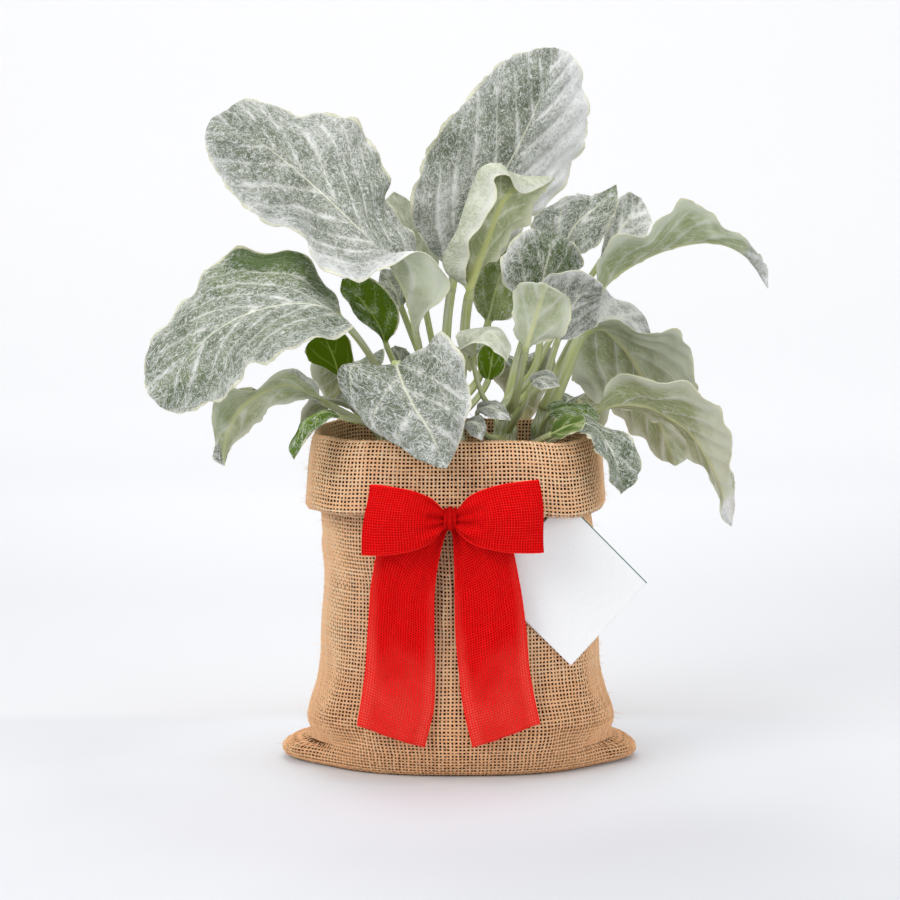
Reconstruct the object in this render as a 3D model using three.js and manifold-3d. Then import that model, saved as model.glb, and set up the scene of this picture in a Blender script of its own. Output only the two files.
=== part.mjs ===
// A potted senecio candicans: silver leaves on short stems, in a nursery pot that stands in a hessian
// gift sack with a folded cuff, a red ribbon bow and a plain square tag. Millimetres, +Z up. The origin
// is under the middle of the sack's flat bottom, the front is towards -Y.

import * as THREE from 'three';
import { mergeVertices } from 'three/addons/utils/BufferGeometryUtils.js';
import Module from 'manifold-3d';

const wasm = await Module();
wasm.setup();

// Driving dimensions

const clearance = 0.3;

const sack = {
  wall: 1.5,
  rimHeight: 182.5,
  hemHeight: 145,
  steps: 32,
  crowding: 0.25,
  earSharpness: 12,
  bodyMiddleX: 2.5,
  shiftFrom: 100,
  ripple: 0.7,
  ripples: 3,
};

const pot = {
  bottomHeight: sack.wall + clearance,
  rimHeight: 160,
  bottomRadius: 47,
  topRadius: 61,
  lip: 1.4,
  lipDepth: 8,
  wall: 1.2,
  sides: 28,
};

const soil = { topHeight: 155, crown: 2, holeDepth: 24 };

const stemShape = { radius: 7, sides: 12, straightTo: 163, shoulder: 0.86, crown: 0.55, crownDepth: 5 };
const stems = [
  { x: -32, y: -8, top: 193 },
  { x: -2, y: 2, top: 203 },
  { x: 27, y: -4, top: 200 },
  { x: 48, y: 5, top: 197 },
];

const blade = { thickness: 0.8, ribDepth: 1.5, ribWidth: 2.4, mergeLength: 0.14, tip: 0.996, foldPlace: 0.6 };
const petioleFoot = 1.15;
const waveLean = 0.2;
const largeLeaf = { row: 7, petioleSteps: 3, bladeSteps: 12, petiole: 2.5, wave: 2.2 };
const smallLeaf = { row: 5, petioleSteps: 3, bladeSteps: 8, petiole: 1.7, wave: 1.0 };

const ribbon = { thickness: 0.7, waistHeight: 144 };
const loops = {
  reach: 47.5,
  middleX: -2,
  rise: 0.03,
  waistY: -81.5,
  waistDepth: 1.8,
  waistReach: 16,
  waistHalfHeight: 4.6,
  fullHalfHeight: 18.6,
  puff: 3.4,
  bulge: 1.6,
  steps: 32,
};
const tailSteps = 26;
const knot = {
  middleX: -3,
  middleY: -81.6,
  width: 7,
  halfHeight: 9.2,
  halfDepth: 5.3,
  squareness: 0.7,
  thickness: 0.8,
  steps: 14,
};

const tag = { side: 62.6, thickness: 0.6, x: 62, y: -57.4, z: 105.5, turn: THREE.MathUtils.degToRad(14.6) };

// Finishes

const finish = {
  hessian: { color: 0xb8936a, roughness: 0.95 },
  potPlastic: { color: 0x2b2a29, roughness: 0.6 },
  soil: { color: 0x2e211a, roughness: 1 },
  stem: { color: 0x9caa63, roughness: 0.8 },
  silverLeaf: { color: 0xb4beb2, roughness: 0.9 },
  greenLeaf: { color: 0x6f8a4e, roughness: 0.85 },
  ribbon: { color: 0xcf1f24, roughness: 0.8 },
  card: { color: 0xf4f3f0, roughness: 0.7 },
};

function material(name) {
  return new THREE.MeshStandardMaterial({ ...finish[name], metalness: 0, side: THREE.FrontSide });
}

const part = new THREE.Group();

function addPiece(name, geometry, materialName) {
  geometry.computeVertexNormals();
  const mesh = new THREE.Mesh(geometry, material(materialName));
  mesh.name = name;
  part.add(mesh);
  return mesh;
}

// Joins and cuts

function toSolid(geometry) {
  const bare = geometry.clone();
  bare.deleteAttribute('normal');
  bare.deleteAttribute('uv');
  const merged = mergeVertices(bare, 1e-4);
  return new wasm.Manifold(new wasm.Mesh({
    numProp: 3,
    vertProperties: new Float32Array(merged.attributes.position.array),
    triVerts: new Uint32Array(merged.index.array),
  }));
}

function toGeometry(solid) {
  const mesh = solid.getMesh();
  const geometry = new THREE.BufferGeometry();
  geometry.setAttribute('position', new THREE.BufferAttribute(new Float32Array(mesh.vertProperties), 3));
  geometry.setIndex(new THREE.BufferAttribute(new Uint32Array(mesh.triVerts), 1));
  return geometry;
}

// Rings of points joined into one closed skin. A ring has its front row first and its back row after it,
// in the opposite order, and both rows are split along the same diagonals.
function loft(rings, { closed = false, row = rings[0].length, caps = 'ladder' } = {}) {
  const count = rings[0].length;
  const positions = rings.flat().flatMap((point) => point.toArray());
  const index = [];
  const last = closed ? rings.length : rings.length - 1;
  for (let i = 0; i < last; i += 1) {
    const here = i * count;
    const next = ((i + 1) % rings.length) * count;
    for (let j = 0; j < count; j += 1) {
      const k = (j + 1) % count;
      if (j < row) {
        index.push(here + j, here + k, next + k, here + j, next + k, next + j);
      } else {
        index.push(here + j, here + k, next + j, here + k, next + k, next + j);
      }
    }
  }
  if (!closed && caps === 'ladder') {
    const end = (rings.length - 1) * count;
    for (let j = 0; j < row - 1; j += 1) {
      const mate = count - 1 - j;
      index.push(j, mate, j + 1, mate, mate - 1, j + 1);
      index.push(end + j, end + j + 1, end + mate, end + mate, end + j + 1, end + mate - 1);
    }
  }
  if (!closed && caps === 'fan') {
    for (const [start, turned] of [[0, true], [(rings.length - 1) * count, false]]) {
      const centre = positions.length / 3;
      const middle = new THREE.Vector3();
      for (let j = 0; j < count; j += 1) {
        middle.add(new THREE.Vector3().fromArray(positions, 3 * (start + j)));
      }
      positions.push(...middle.divideScalar(count).toArray());
      for (let j = 0; j < count; j += 1) {
        const k = (j + 1) % count;
        index.push(start + (turned ? k : j), start + (turned ? j : k), centre);
      }
    }
  }
  const geometry = new THREE.BufferGeometry();
  geometry.setAttribute('position', new THREE.Float32BufferAttribute(positions, 3));
  geometry.setIndex(index);
  return geometry;
}

const samplesPerSpan = 24;

// A smooth line through points, asked for by the fraction of its length. It may start at a later point
// of the curve, so that a midrib carries on from its petiole without a kink.
class Line {
  constructor(points, first = 0, last = points.length - 1) {
    const through = points.map((point) => new THREE.Vector3(...point));
    const curve = new THREE.CatmullRomCurve3(through, false, 'centripetal');
    const spans = points.length - 1;
    const samples = samplesPerSpan * (last - first);
    this.points = [];
    this.lengths = [0];
    for (let i = 0; i <= samples; i += 1) {
      this.points.push(curve.getPoint((first + ((last - first) * i) / samples) / spans));
      if (i > 0) {
        this.lengths.push(this.lengths[i - 1] + this.points[i].distanceTo(this.points[i - 1]));
      }
    }
  }

  at(fraction) {
    const wanted = THREE.MathUtils.clamp(fraction, 0, 1) * this.lengths.at(-1);
    let i = 1;
    while (i < this.lengths.length - 1 && this.lengths[i] < wanted) {
      i += 1;
    }
    const share = (wanted - this.lengths[i - 1]) / (this.lengths[i] - this.lengths[i - 1]);
    return this.points[i - 1].clone().lerp(this.points[i], share);
  }
}

// A thin sheet drawn over lines that run its length, each at its own place across from -1 to 1.
class Sheet {
  constructor(lines, places, relief = () => 0) {
    this.lines = lines;
    this.places = places;
    this.relief = relief;
  }

  flat(t, q) {
    const points = this.lines.map((line) => line.at(t));
    const places = this.places;
    const end = points.length - 1;
    const slope = (i) => {
      const a = Math.max(i - 1, 0);
      const b = Math.min(i + 1, end);
      return points[b].clone().sub(points[a]).divideScalar(places[b] - places[a]);
    };
    let k = 0;
    while (k < end - 1 && q > places[k + 1]) {
      k += 1;
    }
    const span = places[k + 1] - places[k];
    const s = (q - places[k]) / span;
    return points[k].clone().multiplyScalar((1 + 2 * s) * (1 - s) ** 2)
      .addScaledVector(slope(k), span * s * (1 - s) ** 2)
      .addScaledVector(points[k + 1], s * s * (3 - 2 * s))
      .addScaledVector(slope(k + 1), span * s * s * (s - 1));
  }

  normal(place, t, q) {
    const step = 0.012;
    const t0 = Math.max(t - step, 0.002);
    const t1 = Math.min(t + step, 0.998);
    const q0 = Math.max(q - 5 * step, -1);
    const q1 = Math.min(q + 5 * step, 1);
    const along = place(t1, q).sub(place(t0, q));
    const across = place((t0 + t1) / 2, q1).sub(place((t0 + t1) / 2, q0));
    return across.cross(along).normalize();
  }

  at(t, q) {
    const flat = (u, v) => this.flat(u, v);
    return this.flat(t, q).addScaledVector(this.normal(flat, t, q), this.relief(t, q));
  }

  faceAt(t, q) {
    return this.normal((u, v) => this.at(u, v), t, q);
  }

  // One ring round the sheet's thickness: the upper row from left to right, then the lower row back.
  ring(t, row, thickness, keel = () => 0) {
    const upper = row.map((q) => this.at(t, q).addScaledVector(this.faceAt(t, q), thickness / 2));
    const lower = row.map((q) => this.at(t, q).addScaledVector(this.faceAt(t, q), -thickness / 2 - keel(q)));
    return [...upper, ...lower.reverse()];
  }
}

// Leaves

const smooth = (x) => THREE.MathUtils.smoothstep(x, 0, 1);

function petioleRing(middle, along, face, radius, row) {
  const side = along.clone().cross(face).normalize();
  const up = side.clone().cross(along).normalize();
  const count = 2 * row;
  return Array.from({ length: count }, (_, k) => {
    const turn = Math.PI - ((k + 0.5) * 2 * Math.PI) / count;
    const height = Math.sin(turn) * (turn > 0 ? 0.7 : 1);
    return middle.clone()
      .addScaledVector(side, Math.cos(turn) * radius * 1.08)
      .addScaledVector(up, height * radius);
  });
}

// A leaf is one skin from its root in the stem along the petiole, out over the blade to the tip. Its
// lines are listed as seen on the upper face with the tip away: the left margin, the midrib and the
// right margin, with a fold line between them where a margin is rolled.
function leafGeometry(leaf, size) {
  const stem = stems[leaf.stem - 1];
  const root = [stem.x, stem.y, leaf.from];
  const spine = [root, ...leaf.petiole, ...leaf.rib];
  const footAt = 1 + leaf.petiole.length;
  const foot = leaf.rib[0];
  const tip = leaf.rib.at(-1);
  const petiole = new Line(spine, 0, footAt);
  const rib = new Line(spine, footAt);
  const margin = (points) => new Line([foot, ...points, tip]);
  const lines = [margin(leaf.left), rib, margin(leaf.right)];
  const places = [-1, 0, 1];
  if (leaf.rightFold) {
    lines.splice(2, 0, margin(leaf.rightFold));
    places.splice(2, 0, blade.foldPlace);
  }
  const waves = leaf.waves ?? 3;
  const height = leaf.wave ?? size.wave;
  const start = leaf.phase ?? 0;
  const relief = (t, q) => height * q * q * Math.sin(2 * Math.PI * (waves * t + start + waveLean * q))
    * Math.sin(Math.PI * t) ** 0.7;
  const sheet = new Sheet(lines, places, relief);

  const width = (t) => sheet.lines[0].at(t).distanceTo(sheet.lines.at(-1).at(t)) / 2;
  const rowAt = (t) => {
    const beside = Math.min(0.35, blade.ribWidth / Math.max(width(t), 1));
    return size.row === 7 ? [-1, -0.6, -beside, 0, beside, 0.6, 1] : [-1, -0.5, 0, 0.5, 1];
  };
  const radius = leaf.thick ?? size.petiole;
  const swell = (t) => THREE.MathUtils.lerp(petioleFoot, 1, t);
  const footFace = sheet.faceAt(0.06, 0);
  const rings = [];
  for (let i = 0; i < size.petioleSteps; i += 1) {
    const t = i / size.petioleSteps;
    const along = petiole.at(t + 0.02).sub(petiole.at(Math.max(t - 0.02, 0))).normalize();
    rings.push(petioleRing(petiole.at(t), along, footFace, radius * swell(t), size.row));
  }
  for (let i = 0; i <= size.bladeSteps; i += 1) {
    const t = (blade.tip * (1 - Math.cos((Math.PI * i) / size.bladeSteps))) / 2;
    const along = rib.at(t + 0.02).sub(rib.at(Math.max(t - 0.02, 0))).normalize();
    const round = petioleRing(rib.at(t), along, footFace, radius * (1 - t), size.row);
    const keelDepth = (size.row === 7 ? blade.ribDepth : 0.5 * blade.ribDepth) * (1 - t) ** 0.8;
    const keel = (q) => (q === 0 ? keelDepth : 0);
    const open = sheet.ring(Math.max(t, 0.004), rowAt(t), blade.thickness, keel);
    const share = smooth(t / blade.mergeLength);
    rings.push(round.map((point, k) => point.lerp(open[k], share)));
  }
  return loft(rings, { row: size.row });
}

// The leaves that the front shows. Each list of points is chosen by eye, in whole millimetres.
const leaves = {
  tall_back: {
    stem: 2, from: 198, large: true, waves: 4, phase: 0.2,
    petiole: [[-5, 8, 222]],
    rib: [[-2, 16, 259], [8, 20, 294], [27, 24, 323], [44, 30, 357], [56, 42, 392]],
    left: [[-10, 12, 274], [-25, 8, 301], [-18, 12, 327], [-8, 18, 347], [7, 26, 362], [27, 34, 380]],
    right: [[19, 30, 273], [45, 40, 299], [63, 44, 320], [71, 46, 336], [74, 46, 359], [70, 44, 381]],
  },
  folded_front: {
    stem: 2, from: 194, large: true, waves: 3,
    petiole: [[3, -14, 214]],
    rib: [[7, -26, 256], [17, -32, 287], [24, -34, 306], [32, -32, 313], [52, -22, 319]],
    left: [[15, -22, 274], [27, -16, 282], [33, -12, 292], [41, -10, 301], [46, -14, 310]],
    rightFold: [[-7, -22, 275], [1, -32, 290], [5, -36, 305], [10, -36, 316], [20, -32, 326],
      [31, -28, 320]],
    right: [[5, -40, 278], [13, -46, 295], [19, -48, 307], [18, -46, 317], [26, -38, 319], [38, -30, 313]],
  },
  upper_left: {
    stem: 2, from: 189, large: true, waves: 4, phase: 0.4,
    petiole: [[-15, -10, 208]],
    rib: [[-20, -18, 233], [-27, -34, 261], [-37, -36, 278], [-54, -28, 295], [-78, -14, 317],
      [-105, 0, 338], [-134, 14, 352]],
    left: [[-10, -38, 255], [-2, -50, 265], [-11, -56, 278], [-29, -56, 279], [-51, -50, 267],
      [-73, -38, 273], [-82, -26, 290], [-104, -14, 297], [-127, -2, 319], [-137, 8, 341]],
    right: [[-15, -14, 254], [-19, -6, 278], [-25, -2, 294], [-38, 2, 305], [-39, 8, 327], [-55, 14, 350],
      [-85, 18, 355], [-113, 20, 362]],
  },
  left_big: {
    stem: 1, from: 186, large: true, waves: 4,
    petiole: [[-42, -26, 219]],
    rib: [[-58, -40, 243], [-70, -46, 252], [-87, -50, 254], [-114, -56, 247], [-137, -66, 230],
      [-153, -78, 202]],
    left: [[-52, -50, 242], [-61, -60, 238], [-75, -68, 236], [-91, -76, 229], [-107, -84, 222],
      [-113, -86, 213], [-126, -86, 205], [-142, -84, 199]],
    right: [[-58, -28, 250], [-68, -16, 260], [-80, -10, 276], [-105, -6, 281], [-120, -8, 281],
      [-135, -22, 267], [-150, -42, 247], [-163, -58, 226], [-160, -72, 209]],
  },
  left_droop: {
    stem: 1, from: 179, large: true, waves: 3, wave: 1.4, thick: 2.1,
    petiole: [[-49, -14, 187]],
    rib: [[-70, -26, 199], [-79, -34, 204], [-88, -38, 209], [-98, -42, 208], [-105, -44, 205],
      [-114, -46, 198], [-121, -48, 185], [-123, -50, 168]],
    left: [[-75, -14, 209], [-86, -14, 217], [-97, -18, 213], [-109, -26, 208], [-125, -36, 206],
      [-129, -44, 195], [-127, -50, 181], [-129, -52, 173]],
    right: [[-81, -42, 203], [-90, -42, 200], [-101, -40, 198], [-103, -40, 192], [-110, -42, 186],
      [-119, -46, 179]],
  },
  front_centre: {
    stem: 2, from: 182, large: true, waves: 3, phase: 0.3, wave: 1.6,
    petiole: [[-20, -40, 205]],
    rib: [[-31, -64, 224], [-27, -76, 213], [-21, -84, 202], [-13, -90, 190], [-5, -94, 172]],
    left: [[-25, -58, 229], [-16, -56, 232], [-7, -56, 239], [1, -62, 230], [5, -66, 221], [8, -72, 208],
      [4, -80, 195], [2, -86, 184]],
    rightFold: [[-44, -64, 223], [-58, -62, 221], [-59, -64, 214], [-54, -68, 205], [-47, -74, 196],
      [-36, -80, 189], [-25, -88, 181], [-13, -93, 175]],
    right: [[-38, -56, 220], [-49, -50, 216], [-56, -52, 208], [-52, -60, 200], [-43, -68, 191],
      [-34, -77, 187], [-24, -87, 179], [-13, -92, 175]],
  },
  green_upper: {
    stem: 1, from: 188, waves: 2, green: true,
    petiole: [[-30, 8, 206]],
    rib: [[-38, 14, 227], [-43, 16, 240], [-51, 20, 251], [-63, 26, 264]],
    left: [[-43, 16, 234], [-55, 18, 243], [-59, 20, 250], [-64, 24, 257]],
    right: [[-33, 6, 238], [-32, 8, 250], [-38, 12, 258], [-48, 18, 265]],
  },
  green_lower: {
    stem: 1, from: 181, waves: 2, green: true,
    petiole: [[-52, 0, 196]],
    rib: [[-63, 2, 211], [-67, 4, 222], [-73, 8, 235]],
    left: [[-72, 4, 216], [-81, 6, 220], [-82, 8, 228]],
    right: [[-58, -2, 217], [-56, 0, 225], [-60, 4, 234]],
  },
  left_small: {
    stem: 1, from: 173, waves: 2, green: true,
    petiole: [[-42, -40, 188]],
    rib: [[-60, -58, 195], [-69, -64, 198], [-78, -70, 194], [-82, -76, 186], [-84, -80, 175]],
    left: [[-67, -70, 194], [-74, -76, 189], [-79, -80, 183]],
    right: [[-69, -54, 199], [-76, -58, 196], [-82, -66, 189], [-87, -74, 181]],
  },
  centre_arch: {
    stem: 3, from: 188, waves: 2,
    petiole: [[14, -30, 204]],
    rib: [[9, -36, 224], [11, -42, 234], [17, -48, 239], [23, -54, 235], [27, -58, 224]],
    left: [[2, -28, 231], [1, -28, 237], [13, -32, 241], [22, -40, 240], [29, -50, 232]],
    right: [[1, -46, 230], [8, -54, 232], [17, -60, 233], [23, -60, 228]],
  },
  pale_upright: {
    stem: 3, from: 192, large: true, waves: 2, wave: 1.2, thick: 2,
    petiole: [[32, -24, 201]],
    rib: [[37, -40, 229], [41, -44, 243], [44, -50, 253], [47, -60, 265]],
    left: [[46, -40, 233], [56, -44, 237], [60, -50, 246], [58, -56, 258]],
    right: [[32, -44, 237], [30, -50, 252], [34, -58, 266]],
  },
  grey_behind: {
    stem: 3, from: 194, waves: 2,
    petiole: [[46, -4, 207]],
    rib: [[55, -12, 231], [60, -16, 246], [67, -20, 257], [79, -28, 263]],
    left: [[69, -8, 235], [77, -8, 242], [79, -16, 253]],
    right: [[48, -16, 248], [46, -22, 264], [56, -28, 270], [69, -32, 270]],
  },
  dark_mottled: {
    stem: 3, from: 196, large: true, waves: 3, wave: 1.6, thick: 1.8,
    petiole: [[44, 12, 216]],
    rib: [[48, 26, 249], [49, 26, 265], [52, 26, 277], [54, 34, 290]],
    left: [[37, 20, 254], [26, 16, 263], [25, 18, 274], [34, 24, 287], [43, 30, 291]],
    right: [[59, 20, 259], [68, 16, 268], [70, 18, 276], [64, 26, 285]],
  },
  upper_right: {
    stem: 3, from: 190, large: true, waves: 3, phase: 0.5, wave: 1.6, thick: 1.9,
    petiole: [[39, 34, 232]],
    rib: [[60, 44, 279], [68, 44, 294], [80, 46, 304], [91, 52, 316]],
    left: [[47, 40, 286], [42, 40, 295], [52, 42, 304], [67, 46, 310], [81, 50, 311]],
    right: [[72, 38, 278], [81, 38, 284], [87, 40, 295], [91, 46, 306]],
  },
  upper_right_back: {
    stem: 3, from: 184, waves: 2,
    petiole: [[56, 50, 232]],
    rib: [[83, 66, 272], [93, 74, 287], [102, 82, 299], [108, 92, 308]],
    left: [[85, 70, 286], [91, 78, 304], [100, 86, 311]],
    right: [[97, 62, 278], [109, 66, 287], [113, 78, 296]],
  },
  right_long: {
    stem: 4, from: 194, large: true, waves: 3, wave: 1.6,
    petiole: [[60, -1, 218]],
    rib: [[75, 14, 251], [86, 22, 264], [105, 24, 276], [126, 26, 283], [146, 30, 284], [163, 36, 276],
      [176, 40, 258]],
    left: [[88, 38, 267], [104, 50, 281], [128, 58, 291], [147, 58, 290], [164, 52, 279], [173, 46, 267]],
    right: [[77, 8, 266], [80, 2, 281], [86, -2, 288], [106, -2, 289], [115, 2, 301], [126, 8, 309],
      [134, 12, 305], [147, 18, 293], [162, 26, 285], [174, 36, 271]],
  },
  right_silver: {
    stem: 4, from: 188, waves: 2,
    petiole: [[58, 40, 214]],
    rib: [[71, 44, 235], [85, 52, 241], [101, 58, 238], [113, 64, 228]],
    left: [[74, 46, 248], [81, 54, 260], [93, 62, 251], [108, 66, 242]],
    right: [[79, 44, 233], [93, 48, 231], [105, 56, 225]],
  },
  right_big: {
    stem: 4, from: 181, large: true, waves: 4, phase: 0.1,
    petiole: [[60, 14, 208]],
    rib: [[72, 20, 234], [81, 20, 237], [93, 24, 227], [104, 32, 211], [114, 42, 187], [126, 52, 156]],
    left: [[65, 26, 223], [64, 32, 214], [69, 40, 202], [79, 48, 195], [94, 56, 183], [104, 58, 174],
      [115, 55, 161]],
    right: [[75, 12, 241], [86, 4, 242], [99, 2, 236], [110, 2, 235], [122, 4, 238], [127, 8, 230],
      [132, 16, 215], [137, 26, 196], [137, 40, 172], [133, 48, 161]],
  },
  right_low: {
    stem: 4, from: 179, large: true, waves: 4, phase: 0.6, wave: 1.8,
    petiole: [[64, -2, 186]],
    rib: [[75, -6, 193], [85, -8, 197], [102, -8, 197], [114, -6, 192], [130, -2, 180], [138, 0, 168],
      [146, 2, 152], [153, 4, 128]],
    left: [[86, 6, 193], [102, 14, 190], [118, 18, 184], [127, 18, 175], [133, 14, 162], [142, 8, 153],
      [146, 4, 143], [147, 2, 133]],
    right: [[78, -14, 203], [87, -20, 213], [94, -26, 217], [104, -32, 211], [120, -34, 211],
      [137, -32, 202], [147, -24, 183], [151, -16, 172], [151, -8, 159], [154, 0, 142]],
  },
  right_small: {
    stem: 4, from: 172, large: true, waves: 3, wave: 1.4, thick: 1.9,
    petiole: [[54, -34, 181]],
    rib: [[65, -46, 190], [73, -52, 189], [80, -58, 181], [85, -62, 169], [87, -64, 155]],
    left: [[69, -34, 194], [79, -40, 188], [89, -46, 185], [98, -52, 173], [95, -58, 161]],
    right: [[66, -60, 187], [71, -66, 183], [78, -68, 172], [82, -68, 162]],
  },
  bright_front: {
    stem: 3, from: 172, waves: 2, green: true,
    petiole: [[40, -34, 178]],
    rib: [[50, -52, 185], [56, -58, 189], [63, -62, 192], [68, -64, 193]],
    left: [[53, -52, 192], [58, -54, 197], [63, -56, 195], [67, -60, 196]],
    right: [[55, -62, 184], [61, -66, 187], [66, -68, 190]],
  },
  dark_right: {
    stem: 4, from: 172, waves: 2, green: true,
    petiole: [[47, -8, 184]],
    rib: [[50, -14, 191], [57, -18, 196], [66, -20, 195], [77, -22, 188]],
    left: [[51, -8, 197], [60, -8, 199], [73, -12, 196], [78, -16, 192]],
    right: [[54, -24, 191], [61, -30, 191], [70, -30, 188]],
  },
  curled_small: {
    stem: 3, from: 180, waves: 1,
    petiole: [[37, -34, 200]],
    rib: [[40, -42, 210], [45, -46, 215], [50, -50, 214], [55, -54, 211]],
    left: [[40, -34, 215], [47, -36, 217], [53, -42, 215]],
    right: [[44, -54, 210], [50, -58, 210]],
  },
  centre_dark: {
    stem: 2, from: 186, waves: 1, green: true,
    petiole: [[11, 15, 197]],
    rib: [[18, 22, 207], [20, 24, 217], [22, 28, 227]],
    left: [[13, 20, 212], [12, 24, 221], [16, 28, 227]],
    right: [[25, 18, 211], [27, 20, 219], [26, 26, 226]],
  },
  green_centre: {
    stem: 2, from: 194, large: true, waves: 2, wave: 1.4, thick: 2, green: true,
    petiole: [[14, 32, 210]],
    rib: [[18, 40, 237], [22, 42, 254], [27, 46, 269], [36, 54, 288]],
    left: [[11, 42, 249], [11, 46, 265], [21, 52, 281]],
    right: [[32, 34, 243], [41, 34, 258], [42, 42, 275]],
  },
  pale_back_left: {
    stem: 2, from: 192, waves: 2,
    petiole: [[-12, 34, 224]],
    rib: [[-19, 44, 257], [-23, 48, 276], [-29, 54, 295], [-35, 62, 312]],
    left: [[-31, 44, 271], [-39, 50, 289], [-42, 58, 304]],
    right: [[-9, 42, 273], [-12, 46, 287], [-18, 50, 295], [-26, 58, 307]],
  },
  small_low_centre: {
    stem: 3, from: 176, waves: 1,
    petiole: [[15, -36, 184]],
    rib: [[11, -50, 196], [15, -56, 200], [22, -62, 199], [29, -66, 194]],
    left: [[12, -44, 201], [18, -48, 202], [26, -56, 200]],
    right: [[14, -60, 197], [20, -66, 195]],
  },
  small_low_left: {
    stem: 2, from: 174, waves: 1,
    petiole: [[-1, -38, 180]],
    rib: [[3, -56, 188], [7, -62, 193], [12, -68, 191], [14, -72, 184]],
    left: [[7, -52, 193], [12, -56, 195], [16, -64, 190]],
    right: [[5, -66, 189], [9, -72, 186]],
  },
  grey_left_back: {
    stem: 1, from: 180, waves: 1,
    petiole: [[-27, 22, 197]],
    rib: [[-29, 30, 212], [-31, 32, 218], [-34, 36, 226]],
    left: [[-34, 30, 215], [-38, 34, 223]],
    right: [[-24, 26, 216], [-27, 30, 224]],
  },
  olive_small: {
    stem: 2, from: 181, waves: 1,
    petiole: [[-20, 22, 222]],
    rib: [[-30, 30, 247], [-35, 36, 259], [-42, 42, 269]],
    left: [[-35, 32, 252], [-43, 38, 259]],
    right: [[-25, 28, 256], [-30, 34, 267]],
  },
};

// The leaves on the far side, which the front hides, follow one rule: each leaves its stem at an angle,
// rises over its reach and bends down to its tip.
const farShape = {
  bendAt: 0.62,
  petioleAt: 0.2,
  ribAt: [0.38, 0.55, 0.75, 1],
  marginAt: [0.5, 0.66, 0.84],
  marginLift: 5,
  neck: 0.7,
};
const farLeaves = [
  { stem: 1, from: 171, heading: 118, reach: 84, rise: 46, drop: 30, half: 19 },
  { stem: 2, from: 170, heading: 102, reach: 92, rise: 36, drop: 40, half: 20 },
  { stem: 3, from: 174, heading: 82, reach: 104, rise: 44, drop: 46, half: 18 },
  { stem: 4, from: 170, heading: 70, reach: 96, rise: 25, drop: 34, half: 16 },
  { stem: 1, from: 166, heading: 152, reach: 62, rise: 30, drop: 26, half: 14 },
  { stem: 2, from: 176, heading: 84, reach: 104, rise: 46, drop: 16, half: 17 },
];

function farLeaf({ stem, from, heading, reach, rise, drop, half }) {
  const turn = THREE.MathUtils.degToRad(heading);
  const place = (run, height, aside = 0) => {
    const x = stems[stem - 1].x + reach * run * Math.cos(turn) + aside * Math.sin(turn);
    const y = stems[stem - 1].y + reach * run * Math.sin(turn) - aside * Math.cos(turn);
    return [x, y, from + height];
  };
  const { bendAt, petioleAt, ribAt, marginAt, marginLift, neck } = farShape;
  const arch = (run) => rise * Math.sin((Math.PI / 2) * Math.min(run / bendAt, 1))
    - drop * Math.max((run - bendAt) / (1 - bendAt), 0) ** 2;
  const margin = (side) => marginAt.map((run, i) => {
    const aside = side * half * (i === 0 ? neck : 1);
    return place(run, arch(run) + marginLift, aside);
  });
  return {
    stem, from, waves: 3, wave: 1.6, thick: 2.1,
    petiole: [place(petioleAt, arch(petioleAt))],
    rib: ribAt.map((run) => place(run, arch(run))),
    left: margin(-1),
    right: margin(1),
  };
}

farLeaves.forEach((leaf, i) => {
  leaves[`far_${i + 1}`] = farLeaf(leaf);
});

// A closed profile of radius and height, turned about the vertical axis
function turned(points, sides) {
  const geometry = new THREE.LatheGeometry(points.map(([r, z]) => new THREE.Vector2(r, z)), sides);
  return geometry.rotateX(Math.PI / 2);
}

// Stems, each a short tapered post with a round top that stands in a plain hole in the soil

function stemGeometry({ x, y, top }, grow) {
  const bottom = soil.topHeight - soil.holeDepth;
  const radius = stemShape.radius + grow;
  const points = [
    [0, bottom - grow], [radius, bottom - grow], [radius, stemShape.straightTo],
    [stemShape.shoulder * radius, top - stemShape.crownDepth], [stemShape.crown * radius, top - 1 + grow],
    [0, top + grow],
  ];
  return turned(points, stemShape.sides).translate(x, y, 0);
}

function addPlant() {
  stems.forEach((stem, i) => addPiece(`stem_${i + 1}`, stemGeometry(stem, 0), 'stem'));
  for (const [name, leaf] of Object.entries(leaves)) {
    const geometry = leafGeometry(leaf, leaf.large ? largeLeaf : smallLeaf);
    const trimmed = toSolid(geometry).subtract(toSolid(stemGeometry(stems[leaf.stem - 1], clearance)));
    addPiece(`leaf_${name}`, toGeometry(trimmed), leaf.green ? 'greenLeaf' : 'silverLeaf');
  }
}

// The nursery pot and the soil that fills it

function potRadiusAt(height) {
  const share = (height - pot.bottomHeight) / (pot.rimHeight - pot.bottomHeight);
  return THREE.MathUtils.lerp(pot.bottomRadius, pot.topRadius, share);
}

function addPot() {
  const floor = pot.bottomHeight + pot.wall;
  const under = pot.rimHeight - pot.lipDepth;
  const profile = [
    [0, pot.bottomHeight], [pot.bottomRadius, pot.bottomHeight],
    [potRadiusAt(under), under], [potRadiusAt(under) + pot.lip, under],
    [pot.topRadius + pot.lip, pot.rimHeight], [pot.topRadius - pot.wall, pot.rimHeight],
    [pot.bottomRadius - pot.wall, floor], [0, floor],
  ];
  addPiece('nursery_pot', turned(profile, pot.sides), 'potPlastic');
}

function addSoil() {
  const floor = pot.bottomHeight + pot.wall + clearance;
  const edge = (z) => potRadiusAt(z) - pot.wall - 2 * clearance;
  const body = turned([
    [0, floor], [edge(floor), floor], [edge(soil.topHeight), soil.topHeight],
    [0.6 * edge(soil.topHeight), soil.topHeight + soil.crown], [0, soil.topHeight + soil.crown],
  ], pot.sides);
  let solid = toSolid(body);
  for (const stem of stems) {
    solid = solid.subtract(toSolid(stemGeometry(stem, clearance)));
  }
  addPiece('soil', toGeometry(solid), 'soil');
}

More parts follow.
